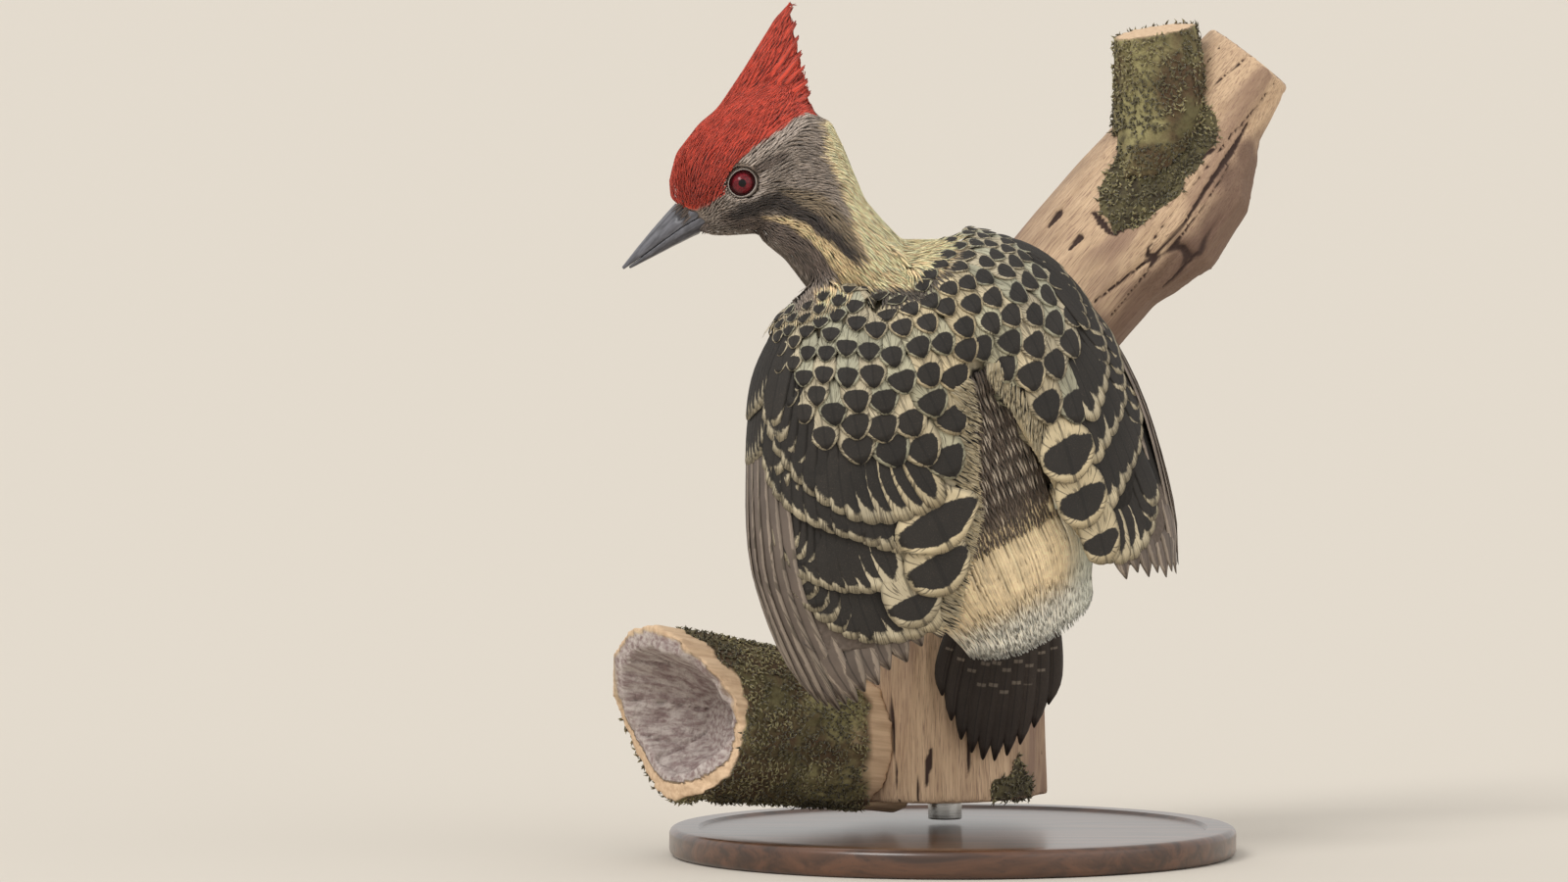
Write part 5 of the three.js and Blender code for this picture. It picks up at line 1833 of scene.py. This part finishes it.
class WOODPECKER_OT_claws(Operator):
    """Smooth the eight hooked claws"""

    bl_idname = "woodpecker.claws"
    bl_label = "Claws"

    def execute(self, context):
        finish = horn_finish("claw_horn", context.scene.woodpecker_head.claw, 0.28, 600)
        for side in SIDES:
            for toe in ("first", "second", "third", "fourth"):
                node = f"claw_{side}_{toe}"
                piece = copy_of(node + "_horn", node)
                subdivide(piece, 2)
                piece.data.shade_smooth()
                settle_in(piece, "claw_horn", (node,), finish)
        return {"FINISHED"}


# ---- perch ----
TRUNK_LINE = np.array(((-1.2, 12, 9.5), (-1.6, 12, 38), (0, 12, 62), (7.5, 13, 82), (20.4, 14, 99),
                       (37.5, 16, 120), (53, 17, 140)))
STUB_LINE = np.array(((-10, 11.5, 19.3), (-51.5, -15, 26)))
BRANCH_LINE = np.array(((34, 14, 112), (36.5, 12, 124), (37.6, 10.5, 133), (35.5, 9.5, 145)))
# How far the mouth's wall is torn away, by the angle round it: 0 faces the front, 90 the ground.
TEAR = keyed((-125, 0), (-90, 0.5), (-72, 2.5), (-48, 6.5), (-20, 9), (15, 8), (55, 3.6), (80, 1), (120, 0))
# Strokes on the wood's front, each given by points of (x, z, half width).
FORK_MOSS = ((28.4, 110, 0.6), (30.5, 115.5, 4.6), (35, 121.5, 6.6), (42, 128, 5))
LONG_CRACK = ((25, 97.5, 0.1), (34.8, 105, 0.15), (40.8, 111.2, 0.15), (45, 118, 0.3), (49, 123.4, 0.4),
              (52, 128.4, 0.1))
SLITS = (
    LONG_CRACK,
    ((28.6, 109.4, 0.2), (34, 112.6, 0.5), (37.8, 116.8, 0.4), (41, 121.4, 0.7), (46, 124.2, 0.2)),
    ((24.6, 113.2, 0.2), (26, 111.4, 0.6), (27.8, 109.2, 0.2)),
    ((16.8, 110.6, 0.1), (18.8, 113, 0.5)),
    ((20.4, 106.6, 0.1), (22.4, 108.8, 0.5)),
    ((33, 96, 0.1), (39, 101.5, 0.15), (43, 105.6, 0.1)),
    ((-5, 12, 0.1), (-4.4, 16.5, 0.5), (-4.2, 19, 0.1)),
    ((2.5, 14, 0.1), (3, 21, 0.3), (3.2, 26, 0.1)),
)


def grain_of(points, line):
    """Each point's place in the wood: across, across and along, in mm, and the way of the grain there."""
    knots = run_along(line)
    run = np.linspace(0, knots[-1], 160)
    fine = np.stack([np.interp(run, knots, line[:, k]) for k in range(3)], 1)
    for _ in range(60):
        fine[1:-1] = (fine[:-2] + fine[2:]) / 2
    ways = unit(np.gradient(fine, axis=0))
    nearest = ((points[:, None] - fine[None]) ** 2).sum(-1).argmin(1)
    way = ways[nearest]
    front = unit(np.array((0, -1.0, 0)) - way * way[:, 1:2] * -1)
    side = np.cross(front, way)
    gap = points - fine[nearest]
    along = run[nearest] + (gap * way).sum(1)
    return np.stack(((gap * side).sum(1), (gap * front).sum(1), along), 1), way, run[-1]


def rough_wood(piece, line, depth, voxel, ragged=1.0):
    """Remeshes a copy of the wood and raises its fibres; returns its grain, ways, normals and length."""
    remesh(piece, voxel, 3, 0.12)
    at, out = points_of(piece), normals_of(piece)
    grain, way, length = grain_of(at, line)
    side_on = 1 - np.abs((out * way).sum(1)) ** 4
    fibre = noise(grain * (1, 1, 0.07), 1.5, 5) * 0.6 + noise(grain * (1, 1, 0.09), 0.75, 6) * 0.4 - 0.5
    swell = noise(grain * (1, 1, 0.3), 7, 7) - 0.5
    seam = np.abs(noise(grain * (1, 1, 0.045), 3.4, 8) - 0.5)
    check = smooth(0.03, 0.0, seam) * smooth(0.5, 0.62, noise(grain * (1, 1, 0.2), 6, 9)) * side_on
    in_front = smooth(-0.35, -0.6, out[:, 1])
    for slit in SLITS:
        inside = strokes(at[:, ::2] + 0.5 * (swell[:, None] - 0.2), slit)
        check = np.maximum(check, smooth(-0.3, 0.1, inside) * in_front * (at[:, 2] < 130))
    lift = depth * (fibre * 1.3 * ragged + swell * 1.2) * side_on - 0.9 * depth * check
    set_points(piece, at + out * lift[:, None])
    set_vector(piece, "grain", grain)
    set_layer(piece, "check", check)
    return grain, way, out, length


def moss_coat(label, surface, wanted, look, seed, finish):
    """Tufts of moss, each a few short curved blades."""
    coat = Coat(GridUnwrap())
    dice = np.random.default_rng(seed)
    roots, faces = surface.scatter(wanted, 0.88, seed)
    roots, faces = np.repeat(roots, 3, 0), np.repeat(faces, 3)
    normal = surface.face_normals[faces]
    lean = unit(np.cross(normal, dice.normal(size=normal.shape)))
    reach = (0.6 + 0.7 * dice.random(len(roots)))[:, None]
    t = np.linspace(0, 1, 4)[None, :, None]
    line = roots[:, None] + normal[:, None] * (reach[:, None] * (0.75 * t - 0.35 * t * t)) + (
        lean[:, None] * (reach[:, None] * (0.3 * t + 0.7 * t * t)))
    up = unit(normal[:, None] * (1 - 0.4 * t) - lean[:, None] * 0.6 * t)
    patch = noise(roots, 5, 21)[:, None] + 0.25 * (dice.random((len(roots), 1)) - 0.5)
    tone = lerp(look.moss_dark, look.bark, smooth(0.35, 0.7, patch))
    tip = lerp(look.moss, look.moss_light, smooth(0.4, 0.7, patch))
    grow(coat, line, up, 0.2 + 0.1 * dice.random(len(roots)), thick=0.16, sink=0.25,
         tone=jitter(tone, seed, 0.15), tip=jitter(tip, seed + 1, 0.2))
    coat.finish(label, "moss_bark", (), finish)


class WOODPECKER_OT_trunk(Operator):
    """Make the bare weathered trunk and limb, with raised fibres, checks and sawn ends"""

    bl_idname = "woodpecker.trunk"
    bl_label = "Trunk"

    def execute(self, context):
        look = context.scene.woodpecker_perch
        nodes = ("perch_trunk", "perch_limb")
        piece = copy_of("trunk_wood", *nodes)
        grain, way, out, length = rough_wood(piece, TRUNK_LINE, look.fibre_depth / MM, 0.62)
        at = points_of(piece)
        ends = (np.abs((out * way).sum(1)) > 0.75) & ((grain[:, 2] < 2) | (grain[:, 2] > length - 2.5))
        radius = np.hypot(grain[:, 0], grain[:, 1])
        set_vector(piece, "saw", np.stack((radius, 0 * radius, ends), 1))
        wave = noise(at, 4, 12) - 0.5
        # The shade layer holds painted shade: darker below the long crack and towards both sides.
        set_layer(piece, "shade", self.shade(at, grain, wave))
        set_layer(piece, "moss", self.moss(at, wave))
        piece.data.shade_smooth()
        settle_in(piece, "wood", nodes, wood_finish(look))
        surface = Surface(piece, 1)
        mossy = self.moss(surface.centres, noise(surface.centres, 4, 12) - 0.5) > 0.5
        moss_coat("trunk_moss", surface, mossy, look, 201, moss_finish())
        return {"FINISHED"}

    def shade(self, at, grain, wave):
        """Painted shade: the wood is darker below its long crack and towards both sides."""
        x, _, z = at.T
        crack = np.array(LONG_CRACK)
        below = np.interp(x, crack[:, 0], crack[:, 1]) - z
        shaded = smooth(-1, 5, below + 7 * wave) * smooth(64, 98, z + 0.4 * x + 14 * wave) * 0.9
        shaded = np.maximum(shaded, smooth(6, 14, grain[:, 0] + 7 * wave) * 0.45)
        return np.maximum(shaded, smooth(-8, -14, grain[:, 0] + 7 * wave) * 0.4)

    def moss(self, at, wave):
        """Where moss grows on the trunk: round the stub, low on the right and under the branch."""
        patches = np.zeros(len(at))
        for centre, reach in (((-21, 2, 20), 7), ((13, -6, 10), 6)):
            gap = np.linalg.norm((at - centre) * (1, 0.6, 0.9), axis=1)
            patches = np.maximum(patches, smooth(reach + 1, reach - 1, gap + 9 * wave))
        return np.maximum(patches, smooth(-0.5, 0.3, strokes(at[:, ::2], FORK_MOSS) + 2 * wave))


class WOODPECKER_OT_stub(Operator):
    """Make the hollow broken stub and the sawn branch, both under moss"""

    bl_idname = "woodpecker.stub"
    bl_label = "Mossy stub and branch"

    def execute(self, context):
        look = context.scene.woodpecker_perch
        finish, moss = bark_finish(look), moss_finish()
        for name, line, seed in (("stub", STUB_LINE, 220), ("branch", BRANCH_LINE, 222)):
            node = "perch_" + name
            piece = copy_of(node + "_bark", node)
            grain, way, out, length = rough_wood(piece, line, 1.6 * look.fibre_depth / MM, 0.5, 0.7)
            if name == "stub":
                hollow, torn = self.break_open(piece, grain, way, out, length)
            else:
                hollow = np.zeros(len(grain))
                torn = smooth(0.6, 0.85, (out * way).sum(1)) * (grain[:, 2] > length - 2)
            set_layer(piece, "hollow", hollow)
            set_layer(piece, "torn", torn)
            piece.data.shade_smooth()
            settle_in(piece, "moss_bark", (node,), finish)
            surface = Surface(piece, 1)
            corner = surface.corners[:, 0]
            mossy = (hollow[corner] < 0.2) & (torn[corner] < 0.3) & (noise(surface.centres, 3.5, 15) > 0.25)
            moss_coat(name + "_moss", surface, mossy, look, seed, moss)
        return {"FINISHED"}

    def break_open(self, piece, grain, way, out, length):
        """Tears the stub's mouth; returns how far each point lies in the hollow and on torn wood."""
        untorn = points_of(piece)
        wave = noise(untorn, 3, 14) - 0.5
        at = self.tear(untorn, grain, way, length)
        set_points(piece, at)
        radius, along = np.hypot(grain[:, 0], grain[:, 1]), grain[:, 2]
        facing = (out * way).sum(1)
        inward = -(self.from_axis(at) * out).sum(1)
        mouth = smooth(0.35, 0.6, facing) * (along > length - 6)
        outer = radius + 1.1 + 1.2 * wave > 12.6
        hollow = smooth(-0.1, 0.3, inward / np.maximum(radius, 0.1)) * (along > length - 16)
        hollow = np.maximum(hollow, (facing > 0.8) * (along < length - 5))
        hollow = np.maximum(hollow, mouth * ~outer)
        edge = smooth(length - 1.6, length - 0.8, along + 2.5 * wave)
        torn = np.maximum(mouth * outer, edge) * (1 - hollow)
        return hollow, np.maximum(torn, smooth(-17, -15, at[:, 0] + 4 * wave))

    def tear(self, at, grain, way, length):
        """Pulls the near side of the mouth back to a ragged broken edge."""
        angle = np.degrees(np.arctan2(grain[:, 0], grain[:, 1]))
        deep = TEAR(angle + 7 * (noise(at, 2.2, 16) - 0.5))
        deep = deep + 1.6 * (noise(at, 1.6, 17) - 0.5) * (TEAR(angle) > 1)
        share = np.clip(1 - (length - grain[:, 2]) / 15.5, 0, 1)
        return at - way * (deep * share)[:, None]

    def from_axis(self, at):
        """From the middle of the stub to each point."""
        way = unit(STUB_LINE[1] - STUB_LINE[0])
        along = (at - STUB_LINE[0]) @ way
        return at - (STUB_LINE[0] + along[:, None] * way)


# ---- stand and stage ----
class WOODPECKER_OT_stand(Operator):
    """Turn the round wooden base and its steel rod"""

    bl_idname = "woodpecker.stand"
    bl_label = "Stand"

    def execute(self, context):
        look = context.scene.woodpecker_stage
        base = self.turned("turned_base", "stand_base", 96)
        self.inset_rim(base, look.bead)
        settle_in(base, "stand_wood", ("stand_base",), varnished_finish(look.base))
        rod = self.turned("steel_rod", "stand_rod", 48)
        modify(rod, "BEVEL", width=0.25 * MM, segments=3, limit_method="ANGLE")
        rod.data.shade_smooth()
        settle_in(rod, "stand_metal", ("stand_rod",), steel_finish())
        return {"FINISHED"}

    def turned(self, label, node, sides):
        """A cylinder in a CAD node's place."""
        low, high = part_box(node)
        return primitive(label, bpy.ops.mesh.primitive_cylinder_add, vertices=sides,
                         radius=(high.x - low.x) / 2, depth=high.z - low.z, location=(low + high) / 2)

    def inset_rim(self, base, bead):
        """Steps the upper face down towards its edge, as a turner would, and rounds the edges."""
        low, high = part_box("stand_base")
        faces = base.data.polygons
        upper = [face.normal.z > 0.9 and face.center.z > high.z - 0.01 * MM for face in faces]
        select_in_edit(base, "FACE", faces, upper)
        bpy.ops.mesh.inset(thickness=0.1 * (high.x - low.x) / 2)
        bpy.ops.mesh.inset(thickness=0.6 * MM)
        bpy.ops.transform.translate(value=(0, 0, -0.5 * MM))
        bpy.ops.mesh.inset(thickness=1.2 * MM)
        bpy.ops.object.mode_set(mode="OBJECT")
        modify(base, "BEVEL", width=bead, segments=5, limit_method="ANGLE", angle_limit=math.radians(60))
        pick(base)
        bpy.ops.object.shade_smooth_by_angle(angle=math.radians(35))


FLOOR_DROP = 0.05 * MM                    # below the base, so that the two faces don't meet
# Each lamp's name, the way it shines, its softness in degrees and its share of the key light's strength.
LAMPS = (("key", (0.55, 0.75, -0.85), 24, 1.0), ("fill", (-0.8, 0.5, -0.35), 60, 0.3))
# The camera's target, its distance and the width of its view are in metres.
CAMERA_TARGET = Vector((-0.02975, -0.030, 0.0746))
CAMERA_HEIGHT = math.radians(3)
CAMERA_DISTANCE, VIEW_WIDTH, SENSOR = 2.0, 0.272, 36


class WOODPECKER_OT_stage(Operator):
    """Set the pale floor, the soft light and the camera"""

    bl_idname = "woodpecker.stage"
    bl_label = "Stage"

    def execute(self, context):
        look = context.scene.woodpecker_stage
        floor = primitive("floor", bpy.ops.mesh.primitive_circle_add, vertices=128, radius=30,
                          fill_type="NGON", location=(0, 0, -FLOOR_DROP))
        floor.data.materials.append(Finish("studio_floor", 0.95).done(look.floor))
        self.light(context.scene, look)
        self.camera(context.scene)
        return {"FINISHED"}

    def light(self, scene, look):
        scene.view_settings.view_transform = "Standard"
        scene.world = bpy.data.worlds.new("studio_light")
        scene.world.use_nodes = True
        background = scene.world.node_tree.nodes["Background"]
        background.inputs["Color"].default_value = (1.0, 0.98, 0.95, 1)
        background.inputs["Strength"].default_value = look.sky
        for name, way, softness, share in LAMPS:
            lamp = bpy.data.lights.new(name, "SUN")
            lamp.energy = share * look.key
            lamp.angle = math.radians(softness)
            lamp.color = (1.0, 0.985, 0.96)
            holder = bpy.data.objects.new(name, lamp)
            scene.collection.objects.link(holder)
            holder.rotation_euler = Vector(way).to_track_quat("-Z", "Y").to_euler()

    def camera(self, scene):
        """A long lens a little above the level, in front of the bird's back."""
        lens = bpy.data.cameras.new("camera")
        lens.sensor_width = SENSOR
        lens.lens = SENSOR * CAMERA_DISTANCE / VIEW_WIDTH
        lens.clip_end = 100
        holder = bpy.data.objects.new("camera", lens)
        scene.collection.objects.link(holder)
        away = Vector((0, -math.cos(CAMERA_HEIGHT), math.sin(CAMERA_HEIGHT)))
        holder.location = CAMERA_TARGET + CAMERA_DISTANCE * away
        holder.rotation_euler = (math.radians(90) - CAMERA_HEIGHT, 0, 0)
        scene.camera = holder


SETTINGS = {
    "woodpecker_plumage": WOODPECKER_PG_plumage,
    "woodpecker_head": WOODPECKER_PG_head,
    "woodpecker_perch": WOODPECKER_PG_perch,
    "woodpecker_stage": WOODPECKER_PG_stage,
}
STEPS = (
    WOODPECKER_OT_stage, WOODPECKER_OT_skin, WOODPECKER_OT_face_coat, WOODPECKER_OT_body_coat,
    WOODPECKER_OT_mantle, WOODPECKER_OT_wings, WOODPECKER_OT_tail, WOODPECKER_OT_bill, WOODPECKER_OT_eyes,
    WOODPECKER_OT_claws, WOODPECKER_OT_trunk, WOODPECKER_OT_stub, WOODPECKER_OT_stand,
)


class WOODPECKER_PT_panel(Panel):
    """The model's steps and the settings they use"""

    bl_idname = "WOODPECKER_PT_panel"
    bl_label = "Woodpecker"
    bl_space_type = "VIEW_3D"
    bl_region_type = "UI"
    bl_category = "Woodpecker"

    def draw(self, context):
        for step in STEPS:
            self.layout.operator(step.bl_idname)
        for name, group in SETTINGS.items():
            box = self.layout.box()
            for key in group.__annotations__:
                box.prop(getattr(context.scene, name), key)


CLASSES = (*SETTINGS.values(), *STEPS, WOODPECKER_PT_panel)


def register():
    for kind in CLASSES:
        bpy.utils.register_class(kind)
    for name, group in SETTINGS.items():
        setattr(bpy.types.Scene, name, PointerProperty(type=group))


def unregister():
    for name in SETTINGS:
        delattr(bpy.types.Scene, name)
    for kind in reversed(CLASSES):
        bpy.utils.unregister_class(kind)


def main():
    register()
    for step in STEPS:
        area, name = step.bl_idname.split(".")
        getattr(getattr(bpy.ops, area), name)()


if __name__ == "__main__":
    main()
